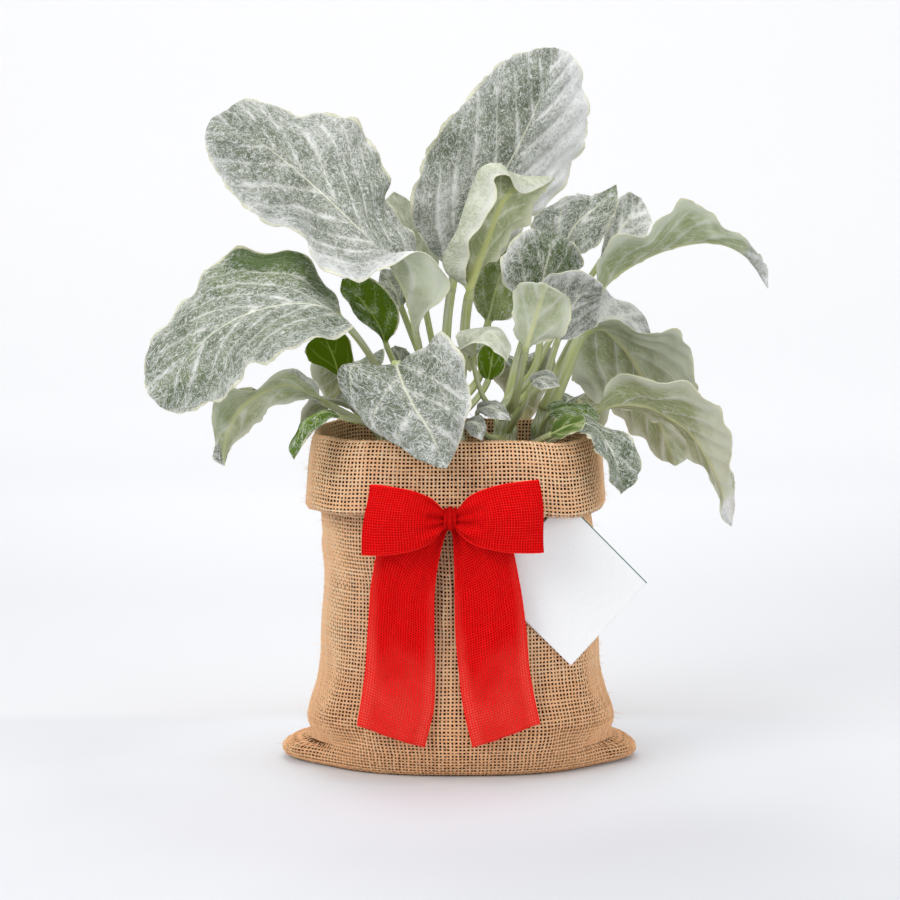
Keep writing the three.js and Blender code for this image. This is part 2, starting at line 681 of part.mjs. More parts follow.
// The hessian sack. Each level is [height, half width, half depth, squareness, reach of the ears].
// The skin runs from the middle of the bottom up the outside of the body into the fold, down the inside
// of the cuff, round its hem, up its outside, over the rim and down the inside of the body.
const bodyLevels = [
  [0, 56, 34, 2.4, 0], [0, 78, 50, 2.5, 14], [2, 79, 53, 2.5, 17], [6, 80, 56, 2.5, 16],
  [10, 80.5, 59, 2.6, 8], [16, 81.5, 62, 2.6, 0], [28, 82, 65, 2.7, 0], [45, 78, 66.5, 2.7, 0],
  [68, 75, 66.5, 2.8, 0], [92, 74, 65.5, 2.8, 0], [124, 74.5, 65, 2.8, 0], [145, 74, 65, 2.9, 0],
  [162, 74.5, 65, 3, 0], [177, 75.2, 65.3, 3, 0],
];
const cuffInside = [[177, 76.4, 66.7, 3, 0], [162, 77.6, 70, 3.2, 0], [sack.hemHeight, 79.5, 74.3, 3.4, 0]];
const cuffOutside = [[sack.hemHeight - 1, 80.4, 75.3, 3.4, 0], [sack.hemHeight + 1, 81, 75.8, 3.4, 0],
  [154, 80.6, 74.2, 3.3, 0], [166, 79.8, 71.4, 3.2, 0], [176, 78.6, 69.2, 3.1, 0], [181, 77.4, 67.6, 3, 0],
  [sack.rimHeight, 75.8, 66, 3, 0], [181, 74.2, 64.4, 3, 0]];
const insideHeights = [165, 140, 100, 68, 45, 28, 14];
const insideFloor = [[sack.wall, 74, 48, 2.5, 0], [sack.wall, 50, 32, 2.4, 0]];

function sackRing([height, halfWidth, halfDepth, squareness, ear], grow = 0) {
  const power = 2 / squareness;
  const upper = smooth((height - sack.shiftFrom) / (sack.hemHeight - sack.shiftFrom));
  return Array.from({ length: sack.steps }, (_, i) => {
    const even = (2 * Math.PI * i) / sack.steps;
    const turn = even - sack.crowding * Math.sin(2 * even);
    const across = Math.cos(turn);
    const back = Math.sin(turn);
    const corner = ear * Math.abs(across) ** sack.earSharpness;
    const reach = (halfWidth + grow) * Math.abs(across) ** power + corner;
    const x = Math.sign(across) * reach + sack.bodyMiddleX * (1 - upper);
    const y = Math.sign(back) * (halfDepth + grow) * Math.abs(back) ** power;
    const ripple = sack.ripple * Math.sin(sack.ripples * turn + 1) * upper;
    return new THREE.Vector3(x, y, height + ripple);
  });
}

function levelAt(height) {
  const above = bodyLevels.findIndex((level) => level[0] >= height);
  const [low, high] = [bodyLevels[above - 1], bodyLevels[above]];
  const share = (height - low[0]) / (high[0] - low[0]);
  return low.map((value, i) => value + (high[i] - value) * share);
}

function addSack() {
  const rings = [
    ...[...bodyLevels, ...cuffInside, ...cuffOutside].map((level) => sackRing(level)),
    ...insideHeights.map((height) => sackRing(levelAt(height), -sack.wall)),
    ...insideFloor.map((level) => sackRing(level)),
  ];
  addPiece('sack', loft(rings, { caps: 'fan' }), 'hessian');
}

// The ribbon bow: two loops in one ring of ribbon, a second length with two tails, and a knot band

function addLoops() {
  const row = [-1, -0.4, 0.4, 1];
  const rings = Array.from({ length: loops.steps }, (_, i) => {
    const turn = (2 * Math.PI * i) / loops.steps;
    const back = Math.sin(turn);
    const away = loops.reach * Math.cos(turn);
    const open = 1 - Math.exp(-((away / loops.waistReach) ** 2));
    const halfHeight = THREE.MathUtils.lerp(loops.waistHalfHeight, loops.fullHalfHeight, open);
    const middle = ribbon.waistHeight + loops.rise * away;
    const skinY = loops.waistY - loops.waistDepth * back - loops.puff * open * (1 + back);
    const out = new THREE.Vector2(0.35 * Math.cos(turn), -back).normalize();
    const bulgeShare = back > 0 ? 1 : 0.2;
    const at = (q, offset) => {
      const bulge = offset + loops.bulge * open * (1 - q * q);
      const x = loops.middleX + away + out.x * bulge;
      return new THREE.Vector3(x, skinY + out.y * bulge * bulgeShare, middle + q * halfHeight);
    };
    return [...row.map((q) => at(q, ribbon.thickness)), ...row.map((q) => at(-q, 0))];
  });
  addPiece('bow_loops', loft(rings, { closed: true, row: row.length }), 'ribbon');
}

function addTails() {
  const row = [-1, -0.33, 0.33, 1];
  const outer = new Line([
    [-52, -70, 33], [-49, -71, 65], [-46, -74, 100], [-38, -77, 128], [-20, -78.2, 143], [-3, -78.4, 148],
    [13, -78.2, 143], [31, -77, 126], [37, -74, 100], [41, -71, 65], [45, -70, 33],
  ]);
  const inner = new Line([
    [-16, -70, 23], [-14, -71, 60], [-12, -74, 96], [-10, -77, 122], [-8, -78.2, 139.6], [-3, -78.4, 141],
    [2, -78.2, 139.6], [4, -77, 122], [5, -74, 96], [7, -71, 60], [9, -70, 23],
  ]);
  const sheet = new Sheet([outer, inner], [-1, 1]);
  const ringAt = (_, i) => sheet.ring(i / tailSteps, row, ribbon.thickness);
  const rings = Array.from({ length: tailSteps + 1 }, ringAt);
  addPiece('bow_tails', loft(rings, { row: row.length }), 'ribbon');
}

function addKnot() {
  const rings = Array.from({ length: knot.steps }, (_, i) => {
    const turn = (2 * Math.PI * i) / knot.steps;
    const round = (value, half) => half * Math.sign(value) * Math.abs(value) ** knot.squareness;
    const at = (side, inset) => new THREE.Vector3(
      knot.middleX + (side * knot.width) / 2,
      knot.middleY + round(Math.cos(turn), knot.halfDepth - inset),
      ribbon.waistHeight + round(Math.sin(turn), knot.halfHeight - inset),
    );
    return [at(1, 0), at(-1, 0), at(-1, knot.thickness), at(1, knot.thickness)];
  });
  addPiece('bow_knot', loft(rings, { closed: true, row: 2 }), 'ribbon');
}

// The square tag, which stands on a corner with its top corner tucked under the cuff

function addTag() {
  const mesh = addPiece('tag', new THREE.BoxGeometry(tag.side, tag.thickness, tag.side), 'card');
  mesh.rotation.order = 'ZYX';
  mesh.rotation.set(0, Math.PI / 4, tag.turn);
  mesh.position.set(tag.x, tag.y, tag.z);
}

addSack();
addPot();
addSoil();
addPlant();
addLoops();
addTails();
addKnot();
addTag();

export default part;
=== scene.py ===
"""A potted senecio candicans in a hessian gift sack with a red ribbon bow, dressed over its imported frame.

Everything is worked out in millimetres and put into the meshes in metres. X is to the right, Y into the
scene and Z up, as in the frame, with the origin under the middle of the sack's bottom.
"""

import logging
import math
from dataclasses import dataclass, field
from enum import Enum
from typing import Callable

import bpy
import numpy as np
from numpy.typing import NDArray
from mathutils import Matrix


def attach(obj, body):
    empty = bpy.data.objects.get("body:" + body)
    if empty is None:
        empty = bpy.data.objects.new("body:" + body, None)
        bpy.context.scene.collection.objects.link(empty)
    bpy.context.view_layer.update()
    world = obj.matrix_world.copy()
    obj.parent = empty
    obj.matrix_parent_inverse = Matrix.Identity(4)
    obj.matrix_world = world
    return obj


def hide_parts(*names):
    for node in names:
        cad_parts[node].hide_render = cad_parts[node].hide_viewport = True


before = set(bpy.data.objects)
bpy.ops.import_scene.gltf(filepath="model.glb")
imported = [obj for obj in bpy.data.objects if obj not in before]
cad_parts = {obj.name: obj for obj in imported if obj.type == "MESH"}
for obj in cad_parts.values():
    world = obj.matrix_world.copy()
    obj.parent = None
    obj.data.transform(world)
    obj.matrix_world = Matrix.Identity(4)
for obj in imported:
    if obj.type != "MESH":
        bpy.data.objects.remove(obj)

Array = NDArray[np.float64]
Colour = tuple[float, float, float]
Point = list[float]
SheetRule = Callable[[Array, Array], Array]
log = logging.getLogger("senecio")

MM = 0.001
SEED = 27
THREAD_PITCH = 2.05
RIBBON_WIDTH = 38.0


def smooth_step(value: Array, low: float = 0.0, high: float = 1.0) -> Array:
    """A soft step: 0 below low, 1 above high, and 3x² - 2x³ between.

    Args:
        value: The numbers to step.
        low: Where the step starts.
        high: Where the step ends.

    Returns:
        Numbers from 0 to 1.
    """
    share = np.clip((value - low) / (high - low), 0.0, 1.0)
    return share * share * (3.0 - 2.0 * share)


def bell(value: Array, width: float) -> Array:
    """A bell curve, exp(-(x / width)²), 1 in its middle."""
    return np.exp(-((value / width) ** 2))


def unit(vectors: Array) -> Array:
    """The same directions with length 1."""
    return vectors / np.maximum(np.linalg.norm(vectors, axis=-1, keepdims=True), 1e-9)


def wander(shape: tuple[int, int], passes: int, rng: np.random.Generator) -> Array:
    """Random numbers that drift along their second axis: noise smoothed passes times, then scaled to 1.

    Args:
        shape: Rows and the numbers along each.
        passes: How often each number is averaged with its neighbours.
        rng: The seeded source.

    Returns:
        An array of that shape with a spread of about 1.
    """
    noise = rng.normal(size=shape)
    for _ in range(passes):
        noise = 0.5 * noise + 0.25 * (np.roll(noise, 1, axis=1) + np.roll(noise, -1, axis=1))
    return noise / noise.std()


def grid_faces(rows: int, columns: int, ring_rows: bool = False, ring_columns: bool = False) -> NDArray:
    """The four-cornered faces of a grid of points, numbered row by row.

    Args:
        rows: Rows of points.
        columns: Points in a row.
        ring_rows: Whether the last row joins the first.
        ring_columns: Whether each row's last point joins its first.

    Returns:
        One row of four point numbers for each face.
    """
    counts = np.arange(rows - (not ring_rows)), np.arange(columns - (not ring_columns))
    i, j = np.meshgrid(*counts, indexing="ij")
    up, along = (i + 1) % rows, (j + 1) % columns
    corners = [i * columns + j, i * columns + along, up * columns + along, up * columns + j]
    return np.stack(corners, -1).reshape(-1, 4)


def tube_faces(rings: int, around: int) -> list[NDArray]:
    """The faces of a tube of rings, with one many-cornered face at each end."""
    cap = np.arange(around)[None, :]
    return [grid_faces(rings, around, ring_columns=True), cap[:, ::-1], cap + around * (rings - 1)]


def wrapped(front: Array, back: Array) -> Array:
    """Rings that run along each row of a front and return along the same row of a back."""
    return np.concatenate([front, back[:, ::-1]], axis=1)


def circle(count: int) -> Array:
    """Angles evenly round a circle, without the last, which is the first again."""
    return np.linspace(0, 2 * math.pi, count, endpoint=False)


def turned_points(radius: Array, height: Array, angle: Array) -> Array:
    """The points of a turned body, from a column of heights and a row of angles."""
    return np.stack([radius * np.cos(angle), radius * np.sin(angle), height + 0 * angle], -1)


def rotated(x: Array, y: Array, angle: float) -> tuple[Array, Array]:
    """Two coordinates turned by an angle in degrees: x cos - y sin and x sin + y cos."""
    c, s = math.cos(math.radians(angle)), math.sin(math.radians(angle))
    return x * c - y * s, x * s + y * c


def make_piece(
    name: str,
    points: Array,
    faces: list[NDArray],
    material: bpy.types.Material,
    uv: Array | None = None,
    values: dict[str, Array] | None = None,
) -> bpy.types.Object:
    """Puts points and faces into a new smooth mesh object that sits at the origin.

    Args:
        name: The object's name.
        points: Points in millimetres, in any grid shape with x, y, z last.
        faces: Arrays of faces, each with one number of corners.
        material: The finish.
        uv: A flat place for each point, in millimetres.
        values: Named numbers, one for each point.

    Returns:
        The object.
    """
    flat = points.reshape(-1, 3) * MM
    sizes = np.concatenate([np.full(len(part), part.shape[1]) for part in faces])
    corners = np.concatenate([part.reshape(-1) for part in faces]).astype(np.int32)
    mesh = bpy.data.meshes.new(name)
    mesh.vertices.add(len(flat))
    mesh.vertices.foreach_set("co", flat.astype(np.float32).ravel())
    mesh.loops.add(len(corners))
    mesh.loops.foreach_set("vertex_index", corners)
    mesh.polygons.add(len(sizes))
    mesh.polygons.foreach_set("loop_start", np.concatenate([[0], np.cumsum(sizes)[:-1]]).astype(np.int32))
    mesh.update(calc_edges=True)
    mesh.polygons.foreach_set("use_smooth", np.ones(len(sizes), dtype=bool))
    if uv is not None:
        layer = mesh.uv_layers.new(name="flat")
        layer.data.foreach_set("uv", uv.reshape(-1, 2)[corners].astype(np.float32).ravel())
    for key, numbers in (values or {}).items():
        attribute = mesh.attributes.new(key, "FLOAT", "POINT")
        attribute.data.foreach_set("value", numbers.astype(np.float32).ravel())
    mesh.materials.append(material)
    piece = bpy.data.objects.new(name, mesh)
    bpy.context.scene.collection.objects.link(piece)
    return piece


def place_piece(piece: bpy.types.Object, slot: str, *nodes: str) -> None:
    """Makes a piece ride on the part and stand for CAD nodes.

    Args:
        piece: The finished object.
        slot: The record's material slot; not used.
        nodes: The CAD nodes that it replaces, if any.
    """
    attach(piece, "root")
    if nodes:
        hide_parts(*nodes)
    log.info("%s: %d faces", piece.name, len(piece.data.polygons))


class Line:
    """A smooth line through points, asked for by the fraction of its length.

    The curve is a centripetal Catmull-Rom spline: each span is a cubic whose end slopes follow from the
    neighbouring points, weighted by the square roots of the distances between them.
    """

    SAMPLES = 24

    def __init__(self, points: list[Point] | Array, first: int = 0, last: int | None = None) -> None:
        """Samples the spans from point number first to point number last.

        Args:
            points: The points, with any number of coordinates.
            first: The point where the line starts.
            last: The point where it ends, or None for the last one.
        """
        given = np.asarray(points, dtype=float)
        padded = np.vstack([2 * given[0] - given[1], given, 2 * given[-1] - given[-2]])
        p0, p1, p2, p3 = (padded[k : len(padded) - 3 + k] for k in range(4))
        pairs = (p0, p1), (p1, p2), (p2, p3)
        d0, d1, d2 = (np.sqrt(np.linalg.norm(b - a, axis=1))[:, None] for a, b in pairs)
        leave = d1 * ((p1 - p0) / d0 - (p2 - p0) / (d0 + d1) + (p2 - p1) / d1)
        arrive = d1 * ((p2 - p1) / d1 - (p3 - p1) / (d1 + d2) + (p3 - p2) / d2)
        s = (np.arange(self.SAMPLES) / self.SAMPLES)[None, :, None]
        a, b, m, n = (part[:, None, :] for part in (p1, p2, leave, arrive))
        spans = a + m * s + (3 * (b - a) - 2 * m - n) * s**2 + (2 * (a - b) + m + n) * s**3
        end = len(given) - 1 if last is None else last
        self.points = np.vstack([spans[first:end].reshape(-1, given.shape[1]), given[end]])
        steps = np.linalg.norm(np.diff(self.points, axis=0), axis=1)
        self.lengths = np.concatenate([[0.0], np.cumsum(steps)])

    @property
    def length(self) -> float:
        """The line's length."""
        return float(self.lengths[-1])

    def at(self, fraction: Array) -> Array:
        """The points at these fractions of the length, in the shape of fraction."""
        wanted = np.clip(fraction, 0.0, 1.0) * self.length
        return np.stack([np.interp(wanted, self.lengths, part) for part in self.points.T], -1)


class Sheet:
    """A thin sheet drawn over lines that run its length, each at its own place across from -1 to 1."""

    STEP = 0.012
    STEPS_ACROSS = 5
    END = 0.002

    def __init__(self, lines: list[Line], places: list[float], relief: SheetRule) -> None:
        """Keeps the lines, their places across and the relief.

        Args:
            lines: Lines along the sheet.
            places: The place of each line across the sheet.
            relief: How far the sheet stands off its lines, in millimetres, at t along and q across.
        """
        self.lines = lines
        self.places = np.array(places)
        self.relief = relief

    def flat(self, t: Array, q: Array) -> Array:
        """The sheet without relief: a cubic in q between neighbouring lines, with a shared slope at each.

        Args:
            t: Fractions along, as a column.
            q: Places across, one row for each t.

        Returns:
            Points in a grid.
        """
        lines, places = np.stack([line.at(t[:, 0]) for line in self.lines]), self.places
        end = len(places) - 1
        low, high = np.maximum(np.arange(end + 1) - 1, 0), np.minimum(np.arange(end + 1) + 1, end)
        slopes = (lines[high] - lines[low]) / (places[high] - places[low])[:, None, None]
        k = np.clip(np.searchsorted(places, q, side="left") - 1, 0, end - 1)
        row = np.broadcast_to(np.arange(len(t))[:, None], k.shape)
        span = (places[k + 1] - places[k])[..., None]
        s = (q[..., None] - places[k][..., None]) / span
        start = lines[k, row] * (1 + 2 * s) * (1 - s) ** 2 + slopes[k, row] * span * s * (1 - s) ** 2
        return start + lines[k + 1, row] * s * s * (3 - 2 * s) + slopes[k + 1, row] * span * s * s * (s - 1)

    def faces(self, place: SheetRule, t: Array, q: Array) -> Array:
        """The directions that the upper face looks in: across × along, by differences of place."""
        t0, t1 = (np.clip(t + step, self.END, 1 - self.END) for step in (-self.STEP, self.STEP))
        step_across = self.STEPS_ACROSS * self.STEP
        q0, q1 = np.clip(q - step_across, -1, 1), np.clip(q + step_across, -1, 1)
        along = place(t1, q) - place(t0, q)
        middle = (t0 + t1) / 2
        return unit(np.cross(place(middle, q1) - place(middle, q0), along))

    def at(self, t: Array, q: Array) -> Array:
        """The sheet with its relief."""
        return self.flat(t, q) + self.faces(self.flat, t, q) * self.relief(t, q)[..., None]

    def both_faces(self, t: Array, q: Array, above: Array, below: Array) -> tuple[Array, Array]:
        """The upper and the lower face of the sheet.

        Args:
            t: Fractions along, as a column.
            q: Places across, one row for each t.
            above: How far the upper face stands off the middle.
            below: How far the lower face does.

        Returns:
            Two grids of points.
        """
        middle, out = self.at(t, q), self.faces(self.at, t, q)
        return middle + out * above[..., None], middle - out * below[..., None]


class Signal:
    """A socket of a material that takes part in sums as a number does."""

    def __init__(self, finish: "Finish", socket: bpy.types.NodeSocket) -> None:
        """Keeps the socket and the finish that it is in."""
        self.finish = finish
        self.socket = socket

    def maths(self, operation: str, first: "Number", second: "Number" = 0.0) -> "Signal":
        """Adds a Math node for an operation on two values."""
        return self.finish.node("ShaderNodeMath", {"operation": operation}, {0: first, 1: second})

    def __add__(self, other: "Number") -> "Signal":
        """self + other."""
        return self.maths("ADD", self, other)

    def __sub__(self, other: "Number") -> "Signal":
        """self - other."""
        return self.maths("SUBTRACT", self, other)

    def __mul__(self, other: "Number") -> "Signal":
        """self × other."""
        return self.maths("MULTIPLY", self, other)

    def __truediv__(self, other: "Number") -> "Signal":
        """self / other."""
        return self.maths("DIVIDE", self, other)

    def __radd__(self, other: float) -> "Signal":
        """other + self."""
        return self.maths("ADD", other, self)

    def __rsub__(self, other: float) -> "Signal":
        """other - self."""
        return self.maths("SUBTRACT", other, self)

    def __rmul__(self, other: float) -> "Signal":
        """other × self."""
        return self.maths("MULTIPLY", other, self)

    def size(self) -> "Signal":
        """The value without its sign."""
        return self.maths("ABSOLUTE", self)

    def above(self, other: "Number") -> "Signal":
        """The larger of the two."""
        return self.maths("MAXIMUM", self, other)

    def off_whole(self) -> "Signal":
        """The distance to the nearest whole number."""
        return self.maths("PINGPONG", self, 0.5)

    def step(self, low: "Number", high: "Number") -> "Signal":
        """A soft step from 0 at low to 1 at high."""
        settings = {"interpolation_type": "SMOOTHSTEP"}
        return self.finish.node("ShaderNodeMapRange", settings, {0: self, 1: low, 2: high})


Number = Signal | float


class Finish:
    """A material in the making: a Principled shader, and one method that adds any other node."""

    def __init__(self, name: str, **constants: float) -> None:
        """Starts the material.

        Args:
            name: The material's name.
            constants: Values that are the same all over, by socket name with _ for each space.
        """
        self.material = bpy.data.materials.new(name)
        self.material.use_nodes = True
        self.tree = self.material.node_tree
        self.shader = self.tree.nodes["Principled BSDF"]
        for key, value in constants.items():
            self.shader.inputs[self.socket_name(key)].default_value = value

    @staticmethod
    def socket_name(key: str) -> str:
        """The shader's own name for a socket written in small letters with _ for each space."""
        return key.replace("_", " ").title().replace("Ior", "IOR")

    def node(
        self, kind: str, settings: dict | None = None, sockets: dict | None = None, output: int = 0
    ) -> Signal:
        """Adds a node.

        Args:
            kind: The node's type.
            settings: Its settings, set first.
            sockets: Values or signals for its sockets, by number or name.
            output: The number of the socket to carry on from.

        Returns:
            That output.
        """
        made = self.tree.nodes.new(kind)
        for key, value in (settings or {}).items():
            setattr(made, key, value)
        for key, value in (sockets or {}).items():
            if isinstance(value, Signal):
                self.tree.links.new(value.socket, made.inputs[key])
            else:
                made.inputs[key].default_value = value
        return Signal(self, made.outputs[output])

    def coat(self, **sockets: Signal) -> None:
        """Joins signals to the shader's sockets, by name with _ for each space."""
        for key, signal in sockets.items():
            self.tree.links.new(signal.socket, self.shader.inputs[self.socket_name(key)])

    def mix(self, share: Number, first: "Signal | Colour", second: "Signal | Colour") -> Signal:
        """A colour between two colours."""
        first, second = ((*one, 1.0) if isinstance(one, tuple) else one for one in (first, second))
        return self.node("ShaderNodeMix", {"data_type": "RGBA"}, {0: share, 6: first, 7: second}, 2)

    def place(self) -> Signal:
        """The point's place on the object."""
        return self.node("ShaderNodeTexCoord", output=3)

    def flat(self) -> Signal:
        """The point's place on the piece laid flat, in millimetres."""
        return self.node("ShaderNodeUVMap", {"uv_map": "flat"})

    def value(self, name: str) -> Signal:
        """A number that the mesh holds for each point."""
        return self.node("ShaderNodeAttribute", {"attribute_name": name}, output=2)

    def part(self, place: Signal, axis: int) -> Signal:
        """One coordinate of a place: 0 for x, 1 for y or 2 for z."""
        return self.node("ShaderNodeSeparateXYZ", None, {0: place}, axis)

    def noise(self, place: Signal, scale: float, detail: float = 1.0, warp: float = 0.0) -> Signal:
        """Soft noise from 0 to 1, about 0.5 on the whole."""
        return self.node("ShaderNodeTexNoise", None, {0: place, 2: scale, 3: detail, "Distortion": warp})

    def turned(self, place: Signal, angle: float, sizes: tuple[float, float, float]) -> Signal:
        """A place turned by an angle in degrees, then measured in steps of these sizes."""
        turn = (0.0, 0.0, math.radians(angle))
        return self.node("ShaderNodeMapping", {"vector_type": "TEXTURE"}, {0: place, 2: turn, 3: sizes})

    def streaks(self, angle: float, sizes: tuple[float, float], detail: float) -> Signal:
        """Noise on the flat piece, drawn out to these sizes in millimetres and turned by degrees."""
        return self.noise(self.turned(self.flat(), angle, (*sizes, 1.0)), 1.0, detail)

    def bump(self, height: Signal, depth: float, strength: float = 1.0) -> Signal:
        """A normal bent by a height from 0 to 1, which stands for depth in metres."""
        sockets = {"Height": height, "Distance": depth, "Strength": strength}
        return self.node("ShaderNodeBump", None, sockets)


class Cover(Enum):
    """How a leaf's upper face looks: under white hairs, mottled with them, or nearly bare."""

    SILVER = "silver"
    CREAM = "cream"
    MOTTLED = "mottled"
    OLIVE = "olive"
    GREEN = "green"


class LeafMarks:
    """What both faces of a leaf's finish read: the mesh's own numbers and the places of the veins."""

    def __init__(self, finish: Finish) -> None:
        """Adds the nodes to a finish."""
        self.upper, self.stalk, self.reach = (finish.value(name) for name in ("upper", "stalk", "reach"))
        self.hairs, lateral, pitch = (finish.value(name) for name in ("hairs", "lateral", "pitch"))
        across, off_vein = finish.part(finish.flat(), 0), lateral.off_whole() * pitch * 0.5
        combed = {0: lateral * pitch * 0.5, 1: across * 2.0}
        self.combed = finish.node("ShaderNodeCombineXYZ", None, combed)
        tapered = 1.0 - self.reach.step(0.5, 1.0)
        self.along_rib = 1.0 - finish.value("run").step(0.55, 0.97)
        self.rib = (1.0 - across.size().step(0.1, 0.8)) * self.along_rib
        self.under_rib = (1.0 - across.size().step(0.5, 1.8)) * (0.35 + 0.65 * self.along_rib)
        self.veins = (1.0 - off_vein.step(0.05, 0.5)) * tapered
        self.cloud = finish.noise(finish.flat(), 0.07, 2.0)
        near = (1.0 - off_vein.step(0.0, 2.6)) * (0.2 + 0.8 * tapered)
        self.near_veins = near * (0.5 + self.cloud.step(0.35, 0.65))


@dataclass(frozen=True)
class LeafFinish:
    """A felted leaf: green under short white hairs above, smooth and pale with raised veins below."""

    name: str
    deep: Colour = (0.08, 0.10, 0.055)
    fresh: Colour = (0.145, 0.17, 0.095)
    bare: Colour = (0.075, 0.125, 0.025)
    frost: Colour = (0.30, 0.32, 0.27)
    hairs: Colour = (0.61, 0.62, 0.595)
    white: Colour = (0.78, 0.785, 0.77)
    under: Colour = (0.30, 0.345, 0.165)
    under_pale: Colour = (0.60, 0.64, 0.49)
    vein: Colour = (0.72, 0.73, 0.55)
    under_vein: Colour = (0.62, 0.64, 0.34)
    stalk: Colour = (0.42, 0.47, 0.17)
    edge: Colour = (0.74, 0.72, 0.48)
    rim: float = 0.55
    sheen: float = 0.2
    stroke: tuple[float, float] = (0.46, 3.0)
    curl: float = 4.6
    crossing: tuple[float, float] = (38.0, 142.0)
    web_sizes: tuple[float, float] = (0.30, 0.43)

    def hair_layer(self, finish: Finish, place: Signal, angle: float) -> Signal:
        """Noise drawn out into short strokes that lie at an angle to the place's second axis and curl."""
        push = finish.node("ShaderNodeTexNoise", None, {0: place, 2: 0.24, 3: 1.0}, 1)
        pushed = {0: push, 1: (self.curl, self.curl, 0.0), 2: place}
        curled = finish.node("ShaderNodeVectorMath", {"operation": "MULTIPLY_ADD"}, pushed)
        return finish.noise(finish.turned(curled, angle, (*self.stroke, 1.0)), 1.0, 0.0, 0.5)

    def material(self) -> bpy.types.Material:
        """Builds the finish: two faces and the petiole, mixed by the numbers that the mesh holds."""
        finish = Finish(self.name, roughness=0.85, specular_ior_level=self.sheen)
        marks = LeafMarks(finish)
        combed = self.hair_layer(finish, marks.combed, 0.0) + 0.05 * marks.near_veins
        top, felt = self.upper_face(finish, marks, combed)
        below, raised = self.under_face(finish, marks, combed)
        colour = finish.mix(marks.upper.step(0.3, 0.7), below, top)
        streaks = finish.streaks(0.0, (1.7, 26.0), 1.0)
        stem = finish.mix(streaks.step(0.34, 0.72) * 0.6, self.stalk, self.hairs)
        colour = finish.mix(marks.stalk.step(0.35, 0.95), colour, stem)
        colour = finish.mix(marks.reach.step(0.955, 0.985) * self.rim, colour, self.edge)
        relief = felt * marks.upper * 0.5 + raised * (1.0 - marks.upper) + streaks * marks.stalk * 0.4
        finish.coat(base_color=colour, normal=finish.bump(relief, 0.0004, 0.6))
        return finish.material

    def upper_face(self, finish: Finish, marks: LeafMarks, combed: Signal) -> tuple[Signal, Signal]:
        """The upper face's colour and its felt.

        The hairs are the highest of three layers of strokes, one combed along the side veins, cut off at
        a level that drops where hairs grow densely: over the veins, at the margin and where the mesh's own
        number says. A net of finer threads lies between them.

        Args:
            finish: The finish to add to.
            marks: The leaf's marks.
            combed: The layer of strokes that follows the side veins.

        Returns:
            The colour, and the felt from 0 to 1.
        """
        fine_cloud, swirl = finish.noise(finish.flat(), 0.33, 2.0), finish.noise(finish.flat(), 0.16, 1.0)
        first, second = (self.hair_layer(finish, finish.flat(), angle) for angle in self.crossing)
        strokes = combed.above(first + 0.10 * (0.5 - swirl)).above(second + 0.10 * (swirl - 0.5))
        threads = [(finish.noise(finish.flat(), size, 1.0, 0.9) - 0.5).size() for size in self.web_sizes]
        web = 1.0 - threads[0].step(0.010, 0.034) * threads[1].step(0.010, 0.034)
        density = marks.hairs + 0.36 * marks.near_veins + 0.3 * marks.rib + 0.22 * marks.reach.step(0.86, 1.0)
        density = density + 0.8 * (marks.cloud - 0.5) + 0.3 * (fine_cloud - 0.5)
        cut = 0.752 - 0.17 * density
        felt = strokes.step(cut, cut + 0.095).above(web * density.step(-0.4, 0.6) * 0.62)
        leaf = finish.mix(marks.cloud.step(0.35, 0.68), self.deep, self.fresh)
        leaf = finish.mix(density.step(-0.5, 0.45), self.bare, leaf)
        frosted = finish.mix(density.step(0.0, 1.75), leaf, self.frost)
        top = finish.mix(felt * 0.84, frosted, self.hairs)
        top = finish.mix(density.step(0.9, 1.8) * (0.6 + 0.4 * strokes.step(0.52, 0.68)), top, self.white)
        return finish.mix((marks.rib * 0.7).above(marks.veins * 0.35 * marks.along_rib), top, self.vein), felt

    def under_face(self, finish: Finish, marks: LeafMarks, combed: Signal) -> tuple[Signal, Signal]:
        """The underside's colour, its veins on a pale skin, white again towards the margin, and its relief.

        Args:
            finish: The finish to add to.
            marks: The leaf's marks.
            combed: The layer of strokes that follows the side veins.

        Returns:
            The colour, and the height of what stands out.
        """
        cells = {0: marks.combed, "Scale": 0.2}
        net = finish.node("ShaderNodeTexVoronoi", {"feature": "DISTANCE_TO_EDGE"}, cells)
        net_lines, down = 1.0 - net.step(0.0, 0.08), combed.step(0.50, 0.74)
        outer = marks.reach.step(0.5, 1.0)
        pale = (0.3 * marks.near_veins + 1.8 * (marks.cloud - 0.45) + marks.hairs - 0.68).above(outer * 0.9)
        below = finish.mix(pale.step(0.0, 1.0), self.under, self.under_pale)
        below = finish.mix(net_lines * 0.45, below, self.under_pale)
        below = finish.mix(down * (0.25 + 0.45 * outer), below, self.hairs)
        below = finish.mix(marks.veins * 0.6, below, self.hairs)
        below = finish.mix(marks.under_rib * 0.8, below, self.under_vein)
        return below, down * 0.2 + marks.veins.above(net_lines * 0.35) * 0.8


